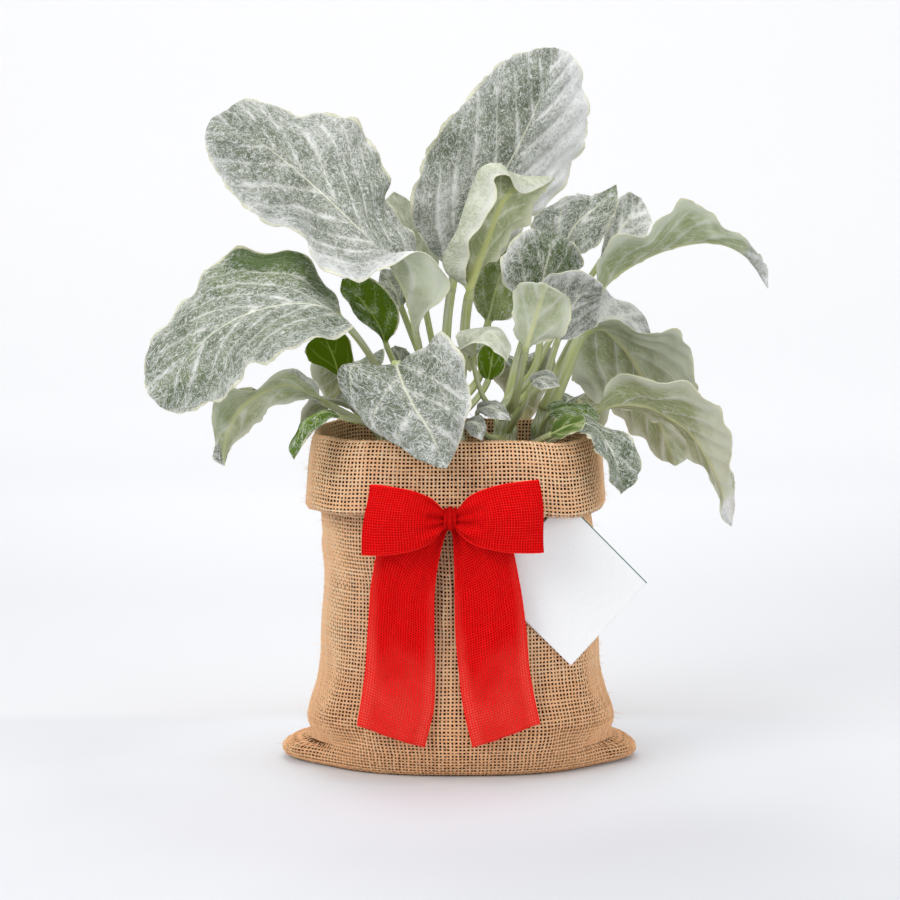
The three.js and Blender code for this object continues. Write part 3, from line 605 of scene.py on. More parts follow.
LEAF_FINISHES = {
    Cover.SILVER: LeafFinish("silver_leaf"),
    Cover.CREAM: LeafFinish(
        "cream_leaf", deep=(0.30, 0.35, 0.20), fresh=(0.38, 0.43, 0.27), frost=(0.52, 0.55, 0.42),
        hairs=(0.64, 0.655, 0.55), white=(0.69, 0.70, 0.63), under_pale=(0.63, 0.655, 0.44),
        under_vein=(0.50, 0.53, 0.19),
    ),
    Cover.MOTTLED: LeafFinish("mottled_leaf", deep=(0.055, 0.085, 0.028), fresh=(0.125, 0.17, 0.05)),
    Cover.OLIVE: LeafFinish(
        "olive_leaf", deep=(0.17, 0.22, 0.055), fresh=(0.32, 0.38, 0.13), vein=(0.50, 0.56, 0.25), rim=0.6,
        sheen=0.08,
    ),
    Cover.GREEN: LeafFinish(
        "green_leaf", deep=(0.045, 0.095, 0.004), fresh=(0.12, 0.21, 0.008), bare=(0.085, 0.145, 0.004),
        frost=(0.22, 0.30, 0.12), vein=(0.34, 0.44, 0.10), under=(0.24, 0.32, 0.07),
        under_pale=(0.36, 0.44, 0.15), rim=0.6, sheen=0.04,
    ),
}
HAIRS = {Cover.SILVER: 0.68, Cover.CREAM: 0.75, Cover.MOTTLED: 0.36, Cover.OLIVE: 0.1, Cover.GREEN: -0.35}
GREEN_COVERS = (Cover.OLIVE, Cover.GREEN)


@dataclass(frozen=True)
class Patch:
    """A stretch of a blade that is whiter or barer than the rest, or rolled: its middle and half size."""

    t: float
    q: float
    long: float
    wide: float
    amount: float

    def at(self, t: Array, q: Array) -> Array:
        """The amount at t along and q across, fading away from the middle."""
        return self.amount * bell(t - self.t, self.long) * bell(q - self.q, self.wide)


def all_over(amount: float) -> Patch:
    """A patch that covers the whole blade, a little less at its ends."""
    return Patch(0.5, 0.0, 2.0, 3.0, amount)


def total(patches: list[Patch], t: Array, q: Array) -> Array:
    """The sum of patches at t along and q across."""
    return sum((patch.at(t, q) for patch in patches), np.zeros_like(q))


@dataclass(frozen=True)
class Stem:
    """A short stem: where it stands and how high it reaches."""

    x: float
    y: float
    top: float


STEMS = [Stem(-32, -8, 193), Stem(-2, 2, 203), Stem(27, -4, 200), Stem(48, 5, 197)]


@dataclass(frozen=True)
class Grade:
    """What differs between large and small leaves.

    It holds the mesh's cell, the petiole's radius, the distance between side veins along the midrib and how
    far they lean, the size of the margin's lobes and wave, and the depth of the midrib's keel.
    """

    cell: float
    petiole: float
    vein_pitch: float
    vein_lean: float
    lobe: float
    wave: float
    rib_depth: float


SMALL = Grade(cell=1.25, petiole=1.7, vein_pitch=12.0, vein_lean=1.4, lobe=1.1, wave=1.0, rib_depth=0.75)
LARGE = Grade(cell=1.45, petiole=2.5, vein_pitch=21.0, vein_lean=1.75, lobe=2.3, wave=2.2, rib_depth=1.5)


@dataclass
class Leaf:
    """One leaf on its petiole, drawn over lines of points that lie on it."""

    stem: int
    root: float
    petiole: Point
    rib: list[Point]
    left: list[Point]
    right: list[Point]
    fold: list[Point] = field(default_factory=list)
    large: bool = False
    waves: float = 3
    phase: float = 0.0
    wave: float = 0.0
    thick: float = 0.0
    cover: Cover = Cover.SILVER
    whiter: list[Patch] = field(default_factory=list)
    lips: list[Patch] = field(default_factory=list)
    turned: list[Patch] = field(default_factory=list)
    lines: list[Line] = field(init=False)
    shift: Array = field(init=False)
    length: float = field(init=False)
    widest: float = field(init=False)

    THICKNESS = 0.8
    MERGE = 0.14
    TIP = 0.997
    FOOT = 0.004
    FOLD_PLACE = 0.6
    LIP_FROM = 0.80
    CROWDING = 1.42
    FULL_WIDTH = 30.0
    FLUTTER_PITCH, FLUTTER = 17.0, 1.9
    LOBE_PITCH = 15.0
    PUCKER = 1.35
    STALK_STEP = 2.0
    STALK_SHIFT = 40.0

    def build(self, name: str) -> tuple[Array, list[NDArray], Array, dict[str, Array]]:
        """Works out the leaf's skin.

        The blade is a sheet over the left margin, the midrib and the right margin. Its rings start as the
        petiole's round section and open into the blade over the first part of the rib.

        Args:
            name: The leaf's name, which seeds its small irregularities.

        Returns:
            Points, faces, flat places and numbers for make_piece.
        """
        self.shift = np.random.default_rng([SEED, *name.encode()]).uniform(0, 2 * math.pi, 6)
        stem = STEMS[self.stem - 1]
        spine = [[stem.x, stem.y, self.root], self.petiole, *self.rib]
        petiole, rib = Line(spine, 0, 2), Line(spine, 2)
        sheet = self.blade_sheet(rib)
        t, q = self.blade_grid()
        radius = self.thick or self.grade.petiole
        count = 2 * q.shape[1]
        face = sheet.faces(sheet.at, np.array([[0.06]]), np.array([[0.0]]))[0]
        round_rings = self.round_rings(rib, t[:, 0], face, radius * (1 - t), count)
        opened = smooth_step(t / self.MERGE)[..., None]
        blade = round_rings + (self.blade_rings(sheet, t, q) - round_rings) * opened
        steps = max(int(petiole.length / self.STALK_STEP), 8)
        p = np.arange(steps) / steps
        swollen = radius * (1.5 - 0.5 * smooth_step(p, 0.0, 0.6))
        stalk = self.round_rings(petiole, p, face, swollen[:, None], count)
        points = np.concatenate([stalk, blade])
        uv, values = self.skin_numbers(t, q, petiole, p, radius)
        return points, tube_faces(len(points), count), uv, values

    @property
    def grade(self) -> Grade:
        """The measures of a large or a small leaf."""
        return LARGE if self.large else SMALL

    def blade_sheet(self, rib: Line) -> Sheet:
        """The blade's sheet over its margins, its rib and, where it has one, the fold of its right half."""
        self.lines, places = [self.margin(self.left), rib, self.margin(self.right)], [-1.0, 0.0, 1.0]
        if self.fold:
            self.lines.insert(2, self.margin(self.fold))
            places.insert(2, self.FOLD_PLACE)
        self.length = rib.length
        self.widest = float(self.half_width(np.linspace(0.1, 0.9, 9)).max())
        return Sheet(self.lines, places, self.relief)

    def blade_grid(self) -> tuple[Array, Array]:
        """The places along and across of the blade's points, closer together at its ends and margins."""
        share = np.linspace(0, 1, max(int(self.length / self.grade.cell), 16))
        t = self.TIP * (0.5 * share + 0.25 * (1 - np.cos(math.pi * share)))[:, None]
        even = np.linspace(-1, 1, 2 * max(int(self.widest / self.grade.cell), 6) + 1)[None, :]
        q = np.sin(self.CROWDING * even) / math.sin(self.CROWDING) * np.ones_like(t)
        return t, q * (1 + self.scallop(t, q))

    def blade_rings(self, sheet: Sheet, t: Array, q: Array) -> Array:
        """The blade's upper face, with a groove over the rib, and its lower one, with the veins' keels."""
        skin = self.THICKNESS / 2 * (1 - 0.6 * np.abs(q) ** 12)
        above, below = skin - 0.35 * bell(self.across(t, q), 1.1), skin + self.keel(t, q)
        return wrapped(*sheet.both_faces(np.maximum(t, self.FOOT), q, above, below))

    def margin(self, points: list[Point]) -> Line:
        """A line from the blade's foot through points to its tip."""
        return Line([self.rib[0], *points, self.rib[-1]])

    def half_width(self, t: Array) -> Array:
        """Half the distance between the margins at t along."""
        return np.linalg.norm(self.lines[0].at(t) - self.lines[-1].at(t), axis=-1) / 2

    def across(self, t: Array, q: Array) -> Array:
        """The distance from the midrib, in millimetres."""
        return q * self.half_width(t)

    def lateral(self, t: Array, q: Array) -> Array:
        """Which side vein a point is at: a whole number on each vein, which leaves the rib at about 30° and
        bends towards the tip, with the veins of the right half set off from those of the left."""
        w = self.across(t, q)
        away = np.abs(w)
        s = t * self.length - self.grade.vein_lean * away - 0.009 * w * w
        s = s + 1.8 * np.sin(0.08 * away + self.shift[0])
        alternate = 0.45 * smooth_step(away, 0.0, 0.8) * (w > 0)
        return s / self.grade.vein_pitch + alternate + 0.22 * np.sin(0.055 * s + self.shift[1])

    def vein_distance(self, t: Array, q: Array) -> Array:
        """The distance to the nearest side vein, in millimetres."""
        lateral = self.lateral(t, q)
        return np.abs(lateral - np.round(lateral)) * self.grade.vein_pitch * 0.5

    def lip(self, t: Array, q: Array) -> Array:
        """How strongly the margin rolls over at each place, nothing away from the margin."""
        return total(self.lips, t, q) * smooth_step(np.abs(q), self.LIP_FROM, 1.04) ** 1.5

    def relief(self, t: Array, q: Array) -> Array:
        """The blade's waves: the margin's slow wave and quick flutter, its rolled stretches, and the puckers
        between the veins."""
        swell = np.sin(math.pi * t)
        slow = q * q * np.sin(2 * math.pi * (self.waves * t + self.phase + 0.2 * q)) * swell**0.7
        side = np.where(q < 0, self.shift[2], self.shift[3])
        swing = 2 * math.pi * self.length / self.FLUTTER_PITCH * t + 0.9 * np.sin(9 * t + side)
        flutter = np.abs(q) ** 4 * np.sin(swing + side) * swell**0.5
        pucker = (1 - bell(self.vein_distance(t, q), 3.0)) * (1 - 0.75 * np.abs(np.clip(q, -1, 1)) ** 4)
        pucker = pucker * smooth_step(np.abs(self.across(t, q)), 0.5, 6.0) * smooth_step(t, 0.02, 0.2)
        scale = min(self.widest / self.FULL_WIDTH, 1.0)
        waves = (self.wave or self.grade.wave) * slow + self.FLUTTER * scale * flutter
        return waves + self.PUCKER * scale * pucker - self.lip(t, q)

    def keel(self, t: Array, q: Array) -> Array:
        """How far the veins stand out below: the midrib, thinning to the tip, and the side veins."""
        depth = self.grade.rib_depth * (1 - t) ** 0.8
        inward = 1 - np.abs(np.clip(q, -1, 1)) ** 2
        side = 0.6 * bell(self.vein_distance(t, q), 0.9) * inward * (1 - 0.5 * t)
        return depth * bell(self.across(t, q), 0.4 + 1.5 * (1 - t)) + side

    def scallop(self, t: Array, q: Array) -> Array:
        """The lobes of the margin, as a share of the half width: bumps with narrow notches, and small teeth
        between them, but none where it rolls over."""
        side = np.where(q < 0, self.shift[4], self.shift[5])
        lobes = max(self.length / self.LOBE_PITCH, 2.5) * t + 0.35 * np.sin(5.1 * t * math.pi + side)
        bumps = np.abs(np.sin(math.pi * lobes + side)) ** 0.6 - 0.7
        teeth = np.abs(np.sin(math.pi * (3.1 * lobes + 0.3 * np.sin(7 * lobes)) + side)) ** 0.7 - 0.6
        size = self.grade.lobe
        lift = (size * bumps + 0.45 * size * teeth) * np.sin(math.pi * np.clip(t, 0, 1)) ** 0.4
        flat = np.clip(1 - total(self.lips, t, q), 0, 1)
        return lift * flat * np.abs(q) ** 3 / np.maximum(self.half_width(t), 5.0)

    @staticmethod
    def round_rings(line: Line, t: Array, face: Array, radius: Array, count: int) -> Array:
        """The petiole's sections: flat above with a shallow channel, round below.

        Args:
            line: The line that they are set along.
            t: Fractions along it.
            face: The direction that the leaf's upper face looks in.
            radius: Their radii, as a column.
            count: Points in each.

        Returns:
            Rings of points.
        """
        along = unit(line.at(t + 0.02) - line.at(t - 0.02))
        side = unit(np.cross(along, face))
        up = unit(np.cross(side, along))
        turn = math.pi - (np.arange(count) + 0.5) * 2 * math.pi / count
        channel = 1 - 0.4 * bell(turn - math.pi / 2, 0.55)
        height = np.sin(turn) * np.where(turn > 0, 0.72 * channel, 1.0)
        out = side[:, None] * (np.cos(turn) * 1.08)[None, :, None] + up[:, None] * height[None, :, None]
        return line.at(t)[:, None] + out * np.asarray(radius)[..., None]

    def skin_numbers(self, t: Array, q: Array, petiole: Line, p: Array, radius: float) -> tuple[Array, dict]:
        """The flat places and the numbers that the finish reads, for the petiole's rings and the blade's."""
        rows, columns = q.shape
        both = lambda numbers: wrapped(numbers, numbers)
        ones = np.ones((rows, columns))
        stalk_ones = np.ones((len(p), 2 * columns))
        stalk_upper = np.concatenate([np.ones(columns), np.zeros(columns)]) * stalk_ones
        stalk_across = np.tile(np.linspace(-2 * radius, 2 * radius, columns), 2) * stalk_ones
        stalk_across = stalk_across + self.STALK_SHIFT
        stalk_along = (p * petiole.length - petiole.length)[:, None] * stalk_ones
        blade_uv = np.stack([both(self.across(t, q)), both(t * self.length * ones)], -1)
        uv = np.concatenate([np.stack([stalk_across, stalk_along], -1), blade_uv])
        opened = smooth_step(t / self.MERGE) * ones
        hairs = HAIRS[self.cover] + 0.30 * smooth_step(np.abs(q), 0.5, 1.0) + 0.30 * self.lip(t, q)
        hairs = hairs + total(self.whiter, t, q)
        upper = wrapped(ones, np.clip(1.6 * total(self.turned, t, q), 0, 1))
        values = {
            "upper": np.concatenate([stalk_upper, upper]),
            "stalk": np.concatenate([stalk_ones, both(1 - opened)]),
            "reach": np.concatenate([0 * stalk_ones, both(np.abs(q) * smooth_step(t, 0.02, 0.12))]),
            "lateral": np.concatenate([0.5 * stalk_ones, both(self.lateral(t, q))]),
            "pitch": np.full((len(p) + rows, 2 * columns), self.grade.vein_pitch),
            "hairs": np.concatenate([stalk_ones, both(hairs)]),
            "run": np.concatenate([0 * stalk_ones, both(t * ones)]),
        }
        return uv, values


LEAVES: dict[str, Leaf] = {
    "tall_back": Leaf(
        stem=2, root=198, large=True, waves=4, phase=0.2, petiole=[-5, 8, 222],
        whiter=[
            Patch(0.5, 0.75, 0.7, 0.55, 0.95), Patch(0.5, -0.95, 0.1, 0.25, -0.6),
            Patch(0.66, -0.25, 0.2, 0.35, -0.3), Patch(0.28, -0.5, 0.3, 0.16, 0.5),
        ],
        rib=[[-2, 16, 259], [8, 20, 294], [27, 24, 323], [44, 30, 357], [56, 42, 392]],
        left=[
            [-10, 12, 274], [-25, 8, 301], [-18, 12, 327], [-8, 18, 347], [7, 26, 364], [24, 34, 382],
            [40, 38, 390],
        ],
        right=[
            [19, 30, 273], [45, 40, 299], [63, 44, 320], [71, 46, 336], [74, 46, 359], [70, 44, 379],
            [64, 43, 388],
        ],
    ),
    "folded_front": Leaf(
        stem=2, root=194, large=True, waves=3, cover=Cover.CREAM, petiole=[3, -14, 214],
        lips=[Patch(0.55, 1.0, 0.5, 0.4, 1.6)],
        rib=[
            [7, -26, 256], [17, -32, 287], [24, -34, 306], [29, -30, 312], [36, -26, 317], [53, -22, 320],
        ],
        left=[[15, -22, 274], [27, -16, 282], [33, -12, 292], [41, -10, 301], [46, -14, 310]],
        fold=[
            [-7, -22, 275], [1, -32, 290], [5, -36, 305], [9, -37, 316], [15, -36, 325], [23, -34, 326],
            [30, -31, 321.5], [39, -27, 320.5],
        ],
        right=[
            [5, -40, 278], [13, -46, 295], [19, -48, 307], [20, -46, 314], [20, -43, 320],
            [27, -40, 319.5], [32, -37, 315], [38, -34, 313.5], [46, -29, 315.5],
        ],
    ),
    "upper_left": Leaf(
        stem=2, root=189, large=True, waves=4, phase=0.4, petiole=[-15, -10, 208],
        whiter=[
            Patch(0.1, -0.4, 0.28, 0.9, 0.6), Patch(0.5, -1.0, 0.4, 0.35, 0.25),
            Patch(0.42, 0.9, 0.12, 0.3, -0.4), Patch(0.85, 0.2, 0.2, 0.6, -0.1),
            Patch(0.3, 0.35, 0.2, 0.2, -0.25), Patch(0.62, 0.6, 0.25, 0.16, 0.35),
        ],
        lips=[Patch(0.16, -1.0, 0.13, 0.4, 4.5)],
        rib=[
            [-20, -18, 233], [-27, -34, 261], [-37, -36, 278], [-54, -28, 295], [-78, -14, 317],
            [-105, 0, 338], [-134, 14, 352],
        ],
        left=[
            [-10, -38, 255], [-2, -50, 265], [-11, -56, 278], [-29, -56, 279], [-51, -50, 267],
            [-73, -38, 273], [-82, -26, 290], [-104, -14, 297], [-127, -2, 319], [-137, 8, 341],
        ],
        right=[
            [-15, -14, 254], [-19, -6, 278], [-25, -2, 294], [-38, 2, 305], [-39, 8, 327], [-55, 14, 350],
            [-85, 18, 355], [-113, 20, 362],
        ],
    ),
    "left_big": Leaf(
        stem=1, root=186, large=True, waves=4, wave=1.3, cover=Cover.MOTTLED, petiole=[-42, -26, 219],
        whiter=[
            all_over(0.24), Patch(0.34, 0.95, 0.17, 0.38, -1.0), Patch(0.12, 0.75, 0.12, 0.4, -0.4),
            Patch(0.3, 0.05, 0.3, 0.25, 0.3),
        ],
        rib=[
            [-58, -40, 243], [-70, -46, 252], [-87, -50, 254], [-114, -56, 247], [-137, -66, 230],
            [-153, -78, 202],
        ],
        left=[
            [-52, -50, 242], [-61, -60, 238], [-75, -68, 236], [-91, -76, 229], [-107, -84, 222],
            [-113, -86, 213], [-126, -86, 205], [-142, -84, 199],
        ],
        right=[
            [-58, -28, 250], [-68, -16, 260], [-80, -10, 276], [-105, -6, 281], [-120, -8, 281],
            [-135, -22, 267], [-150, -42, 247], [-163, -58, 226], [-160, -72, 209],
        ],
    ),
    "left_droop": Leaf(
        stem=1, root=179, large=True, waves=3, wave=1.4, thick=2.1, petiole=[-49, -14, 187],
        whiter=[all_over(0.25)],
        turned=[Patch(0.97, -0.9, 0.1, 0.6, 1.0), Patch(0.12, -0.9, 0.16, 0.3, 1.0)],
        rib=[
            [-70, -26, 199], [-79, -34, 204], [-88, -38, 209], [-98, -42, 208], [-105, -44, 205],
            [-114, -46, 198], [-121, -48, 185], [-123, -50, 168],
        ],
        left=[
            [-75, -14, 209], [-86, -14, 217], [-97, -18, 213], [-109, -26, 208], [-125, -36, 206],
            [-129, -44, 195], [-127, -50, 181], [-129, -52, 173],
        ],
        right=[
            [-81, -42, 203], [-90, -42, 200], [-101, -40, 198], [-103, -40, 192], [-110, -42, 186],
            [-119, -46, 179],
        ],
    ),
    "front_centre": Leaf(
        stem=2, root=182, large=True, waves=3, phase=0.3, wave=1.6, petiole=[-20, -40, 205],
        whiter=[
            all_over(-0.1), Patch(0.5, -1.0, 0.5, 0.3, 0.2), Patch(0.1, 0.0, 0.12, 1.0, -0.25),
            Patch(0.8, 0.3, 0.3, 1.2, 0.25),
        ],
        rib=[[-31, -64, 224], [-27, -76, 213], [-21, -84, 202], [-13, -90, 190], [-5, -94, 172]],
        left=[
            [-25, -58, 229], [-16, -56, 232], [-7, -56, 239], [1, -62, 230], [5, -66, 221], [8, -72, 208],
            [4, -80, 195], [2, -86, 184],
        ],
        fold=[
            [-44, -64, 223], [-58, -62, 221], [-59, -64, 214], [-54, -68, 205], [-47, -74, 196],
            [-36, -80, 189], [-25, -88, 181], [-13, -93, 175],
        ],
        right=[
            [-38, -56, 220], [-49, -50, 216], [-56, -52, 208], [-52, -60, 200], [-43, -68, 191],
            [-34, -77, 187], [-24, -87, 179], [-13, -92, 175],
        ],
    ),
    "green_upper": Leaf(
        stem=1, root=188, waves=2, cover=Cover.GREEN, petiole=[-30, 8, 206],
        whiter=[Patch(0.35, -0.7, 0.4, 0.7, 0.5), Patch(0.8, 0.0, 0.2, 1.0, 0.2)],
        rib=[[-38, 14, 227], [-43, 16, 240], [-51, 20, 251], [-63, 26, 264]],
        left=[[-43, 16, 234], [-55, 18, 243], [-59, 20, 250], [-64, 24, 257]],
        right=[[-33, 6, 238], [-32, 8, 250], [-38, 12, 258], [-48, 18, 265]],
    ),
    "green_lower": Leaf(
        stem=1, root=181, waves=2, cover=Cover.GREEN, petiole=[-52, 0, 196],
        whiter=[Patch(0.5, 0.0, 1.0, 2.0, -0.6)],
        rib=[[-63, 2, 211], [-67, 4, 222], [-73, 8, 235]],
        left=[[-72, 4, 216], [-81, 6, 220], [-82, 8, 228]],
        right=[[-58, -2, 217], [-56, 0, 225], [-60, 4, 234]],
    ),
    "left_small": Leaf(
        stem=1, root=173, waves=2, cover=Cover.GREEN, petiole=[-42, -40, 188],
        whiter=[all_over(0.4)],
        rib=[[-60, -58, 195], [-69, -64, 198], [-78, -70, 194], [-82, -76, 186], [-84, -80, 175]],
        left=[[-67, -70, 194], [-74, -76, 189], [-79, -80, 183]],
        right=[[-69, -54, 199], [-76, -58, 196], [-82, -66, 189], [-87, -74, 181]],
    ),
    "centre_arch": Leaf(
        stem=3, root=188, waves=2, cover=Cover.CREAM, petiole=[14, -30, 204],
        whiter=[all_over(0.2)],
        rib=[[9, -36, 224], [11, -42, 234], [17, -48, 239], [23, -54, 235], [27, -58, 224]],
        left=[[2, -28, 231], [1, -28, 237], [13, -32, 241], [22, -40, 240], [29, -50, 232]],
        right=[[1, -46, 230], [8, -54, 232], [17, -60, 233], [23, -60, 228]],
    ),
    "pale_upright": Leaf(
        stem=3, root=192, large=True, waves=2, wave=1.2, thick=2, petiole=[32, -24, 201],
        whiter=[Patch(0.5, 0.0, 1.0, 3.0, 0.4)],
        rib=[[37, -40, 229], [41, -44, 243], [44, -50, 253], [47, -60, 265]],
        left=[[46, -40, 233], [56, -44, 237], [60, -50, 246], [58, -56, 258]],
        right=[[32, -44, 237], [30, -50, 252], [34, -58, 266]],
    ),
    "grey_behind": Leaf(
        stem=3, root=194, waves=2, petiole=[46, -4, 207],
        whiter=[Patch(0.5, 0.0, 1.0, 3.0, 0.1), Patch(0.8, 0.9, 0.4, 0.4, 0.4)],
        turned=[all_over(1.3)],
        rib=[[55, -12, 231], [60, -16, 246], [67, -20, 257], [79, -28, 263]],
        left=[[69, -8, 235], [77, -8, 242], [79, -16, 253]],
        right=[[48, -16, 248], [46, -22, 264], [56, -28, 270], [69, -32, 270]],
    ),
    "dark_mottled": Leaf(
        stem=3, root=196, large=True, waves=3, wave=1.6, thick=1.8, cover=Cover.MOTTLED,
        petiole=[44, 12, 216],
        whiter=[Patch(0.6, -0.9, 0.4, 0.3, 0.6), Patch(0.4, 0.6, 0.3, 0.4, -0.2)],
        rib=[[48, 26, 249], [49, 26, 265], [52, 26, 277], [54, 34, 290]],
        left=[[37, 20, 254], [26, 16, 263], [25, 18, 274], [34, 24, 287], [43, 30, 291]],
        right=[[59, 20, 259], [68, 16, 268], [70, 18, 276], [64, 26, 285]],
    ),
    "upper_right": Leaf(
        stem=3, root=190, large=True, waves=3, phase=0.5, wave=1.6, thick=1.9, cover=Cover.MOTTLED,
        petiole=[39, 34, 232],
        whiter=[Patch(0.7, -0.8, 0.3, 0.3, 0.5), Patch(0.3, 0.0, 0.5, 1.0, 0.55)],
        rib=[[60, 44, 279], [68, 44, 294], [80, 46, 304], [91, 52, 316]],
        left=[[47, 40, 286], [42, 40, 295], [52, 42, 304], [67, 46, 310], [81, 50, 311]],
        right=[[72, 38, 278], [81, 38, 284], [87, 40, 295], [91, 46, 306]],
    ),
    "upper_right_back": Leaf(
        stem=3, root=184, waves=2, cover=Cover.MOTTLED, petiole=[56, 50, 232],
        whiter=[Patch(0.6, 0.3, 0.8, 1.5, 0.75)],
        rib=[[83, 66, 272], [93, 74, 287], [102, 82, 299], [108, 92, 308]],
        left=[[85, 70, 286], [91, 78, 304], [100, 86, 311]],
        right=[[97, 62, 278], [109, 66, 287], [113, 78, 296]],
    ),
    "right_long": Leaf(
        stem=4, root=194, large=True, waves=3, wave=1.6, petiole=[60, -1, 218],
        whiter=[Patch(0.6, 0.0, 0.6, 3.0, 0.12), Patch(1.0, 0.0, 0.12, 3.0, 0.6)],
        turned=[Patch(0.95, 0.3, 0.12, 1.2, 1.2)],
        rib=[
            [75, 14, 251], [86, 22, 264], [105, 24, 276], [126, 26, 283], [146, 30, 284], [163, 36, 276],
            [176, 40, 258],
        ],
        left=[
            [88, 38, 267], [104, 50, 281], [128, 58, 291], [147, 58, 290], [164, 52, 279], [173, 46, 267],
        ],
        right=[
            [77, 8, 266], [80, 2, 281], [86, -2, 288], [106, -2, 289], [115, 2, 301], [126, 8, 309],
            [134, 12, 305], [147, 18, 293], [162, 26, 285], [174, 36, 271],
        ],
    ),
    "right_silver": Leaf(
        stem=4, root=188, waves=2, petiole=[58, 40, 214],
        whiter=[Patch(0.3, 0.3, 0.8, 2.0, 0.7)],
        rib=[[71, 44, 235], [85, 52, 241], [101, 58, 238], [113, 64, 228]],
        left=[[74, 46, 248], [81, 54, 260], [93, 62, 251], [108, 66, 242]],
        right=[[79, 44, 233], [93, 48, 231], [105, 56, 225]],
    ),
    "right_big": Leaf(
        stem=4, root=181, large=True, waves=4, phase=0.1, petiole=[60, 14, 208],
        whiter=[Patch(0.5, 0.6, 0.5, 0.6, 0.55), Patch(0.5, -0.3, 0.6, 0.6, 0.1)],
        rib=[[72, 20, 234], [81, 20, 237], [93, 24, 227], [104, 32, 211], [114, 42, 187], [126, 52, 156]],
        left=[
            [65, 26, 223], [64, 32, 214], [69, 40, 202], [79, 48, 195], [94, 56, 183], [104, 58, 174],
            [115, 55, 161],
        ],
        right=[
            [75, 12, 241], [86, 4, 242], [99, 2, 236], [110, 2, 235], [122, 4, 238], [127, 8, 230],
            [132, 16, 215], [137, 26, 196], [137, 40, 172], [133, 48, 161],
        ],
    ),
    "right_low": Leaf(
        stem=4, root=179, large=True, waves=4, phase=0.6, wave=1.8, petiole=[64, -2, 186],
        whiter=[
            Patch(0.75, 0.5, 0.35, 0.8, 1.3), Patch(0.35, 0.2, 0.3, 0.9, -0.6),
            Patch(1.0, 0.0, 0.1, 3.0, 0.6),
        ],
        turned=[Patch(1.0, 0.0, 0.11, 1.5, 1.3)],
        rib=[
            [75, -6, 193], [85, -8, 197], [102, -8, 197], [114, -6, 192], [130, -2, 180], [138, 0, 168],
            [146, 2, 152], [153, 4, 128],
        ],
        left=[
            [86, 6, 193], [102, 14, 190], [118, 18, 184], [127, 18, 175], [133, 14, 162], [142, 8, 153],
            [146, 4, 143], [147, 2, 133],
        ],
        right=[
            [78, -14, 203], [87, -20, 213], [94, -26, 217], [104, -32, 211], [120, -34, 211],
            [137, -32, 202], [147, -24, 183], [151, -16, 172], [151, -8, 159], [154, 0, 142],
        ],
    ),
    "right_small": Leaf(
        stem=4, root=172, large=True, waves=3, wave=1.4, thick=1.9, cover=Cover.MOTTLED,
        petiole=[54, -34, 181],
        whiter=[Patch(0.5, 0.2, 0.5, 1.0, 0.2)],
        rib=[[65, -46, 190], [73, -52, 189], [80, -58, 181], [85, -62, 169], [87, -64, 155]],
        left=[[69, -34, 194], [79, -40, 188], [89, -46, 185], [98, -52, 173], [95, -58, 161]],
        right=[[66, -60, 187], [71, -66, 183], [78, -68, 172], [82, -68, 162]],
    ),
    "bright_front": Leaf(
        stem=3, root=172, waves=2, cover=Cover.OLIVE, petiole=[40, -34, 178],
        whiter=[all_over(-0.5)],
        rib=[[50, -52, 185], [56, -58, 189], [63, -62, 192], [68, -64, 193]],
        left=[[53, -52, 192], [58, -54, 197], [63, -56, 195], [67, -60, 196]],
        right=[[55, -62, 184], [61, -66, 187], [66, -68, 190]],
    ),
    "dark_right": Leaf(
        stem=4, root=172, waves=2, cover=Cover.GREEN, petiole=[47, -8, 184],
        whiter=[all_over(0.6)],
        rib=[[50, -14, 191], [57, -18, 196], [66, -20, 195], [77, -22, 188]],
        left=[[51, -8, 197], [60, -8, 199], [73, -12, 196], [78, -16, 192]],
        right=[[54, -24, 191], [61, -30, 191], [70, -30, 188]],
    ),
    "curled_small": Leaf(
        stem=3, root=180, waves=1, petiole=[37, -34, 200],
        rib=[[40, -42, 210], [45, -46, 215], [50, -50, 214], [55, -54, 211]],
        left=[[40, -34, 215], [47, -36, 217], [53, -42, 215]],
        right=[[44, -54, 210], [50, -58, 210]],
    ),
    "centre_dark": Leaf(
        stem=2, root=186, waves=1, cover=Cover.GREEN, petiole=[11, 15, 197],
        rib=[[18, 22, 207], [20, 24, 217], [22, 28, 227]],
        left=[[13, 20, 212], [12, 24, 221], [16, 28, 227]],
        right=[[25, 18, 211], [27, 20, 219], [26, 26, 226]],
    ),
    "green_centre": Leaf(
        stem=2, root=194, large=True, waves=2, wave=1.4, thick=2, cover=Cover.OLIVE,
        petiole=[14, 32, 210],
        rib=[[18, 40, 237], [22, 42, 254], [27, 46, 269], [36, 54, 288]],
        left=[[11, 42, 249], [11, 46, 265], [21, 52, 281]],
        right=[[32, 34, 243], [41, 34, 258], [42, 42, 275]],
    ),
    "pale_back_left": Leaf(
        stem=2, root=192, waves=2, cover=Cover.CREAM, petiole=[-12, 34, 224],
        whiter=[Patch(0.6, 0.0, 0.8, 2.0, 0.1)],
        rib=[[-19, 44, 257], [-23, 48, 276], [-29, 54, 295], [-35, 62, 312]],
        left=[[-31, 44, 271], [-39, 50, 289], [-42, 58, 304]],
        right=[[-9, 42, 273], [-12, 46, 287], [-18, 50, 295], [-26, 58, 307]],
    ),
    "small_low_centre": Leaf(
        stem=3, root=176, waves=1, petiole=[15, -36, 184],
        rib=[[11, -50, 196], [15, -56, 200], [22, -62, 199], [29, -66, 194]],
        left=[[12, -44, 201], [18, -48, 202], [26, -56, 200]],
        right=[[14, -60, 197], [20, -66, 195]],
    ),
    "small_low_left": Leaf(
        stem=2, root=174, waves=1, petiole=[-1, -38, 180],
        rib=[[3, -56, 188], [7, -62, 193], [12, -68, 191], [14, -72, 184]],
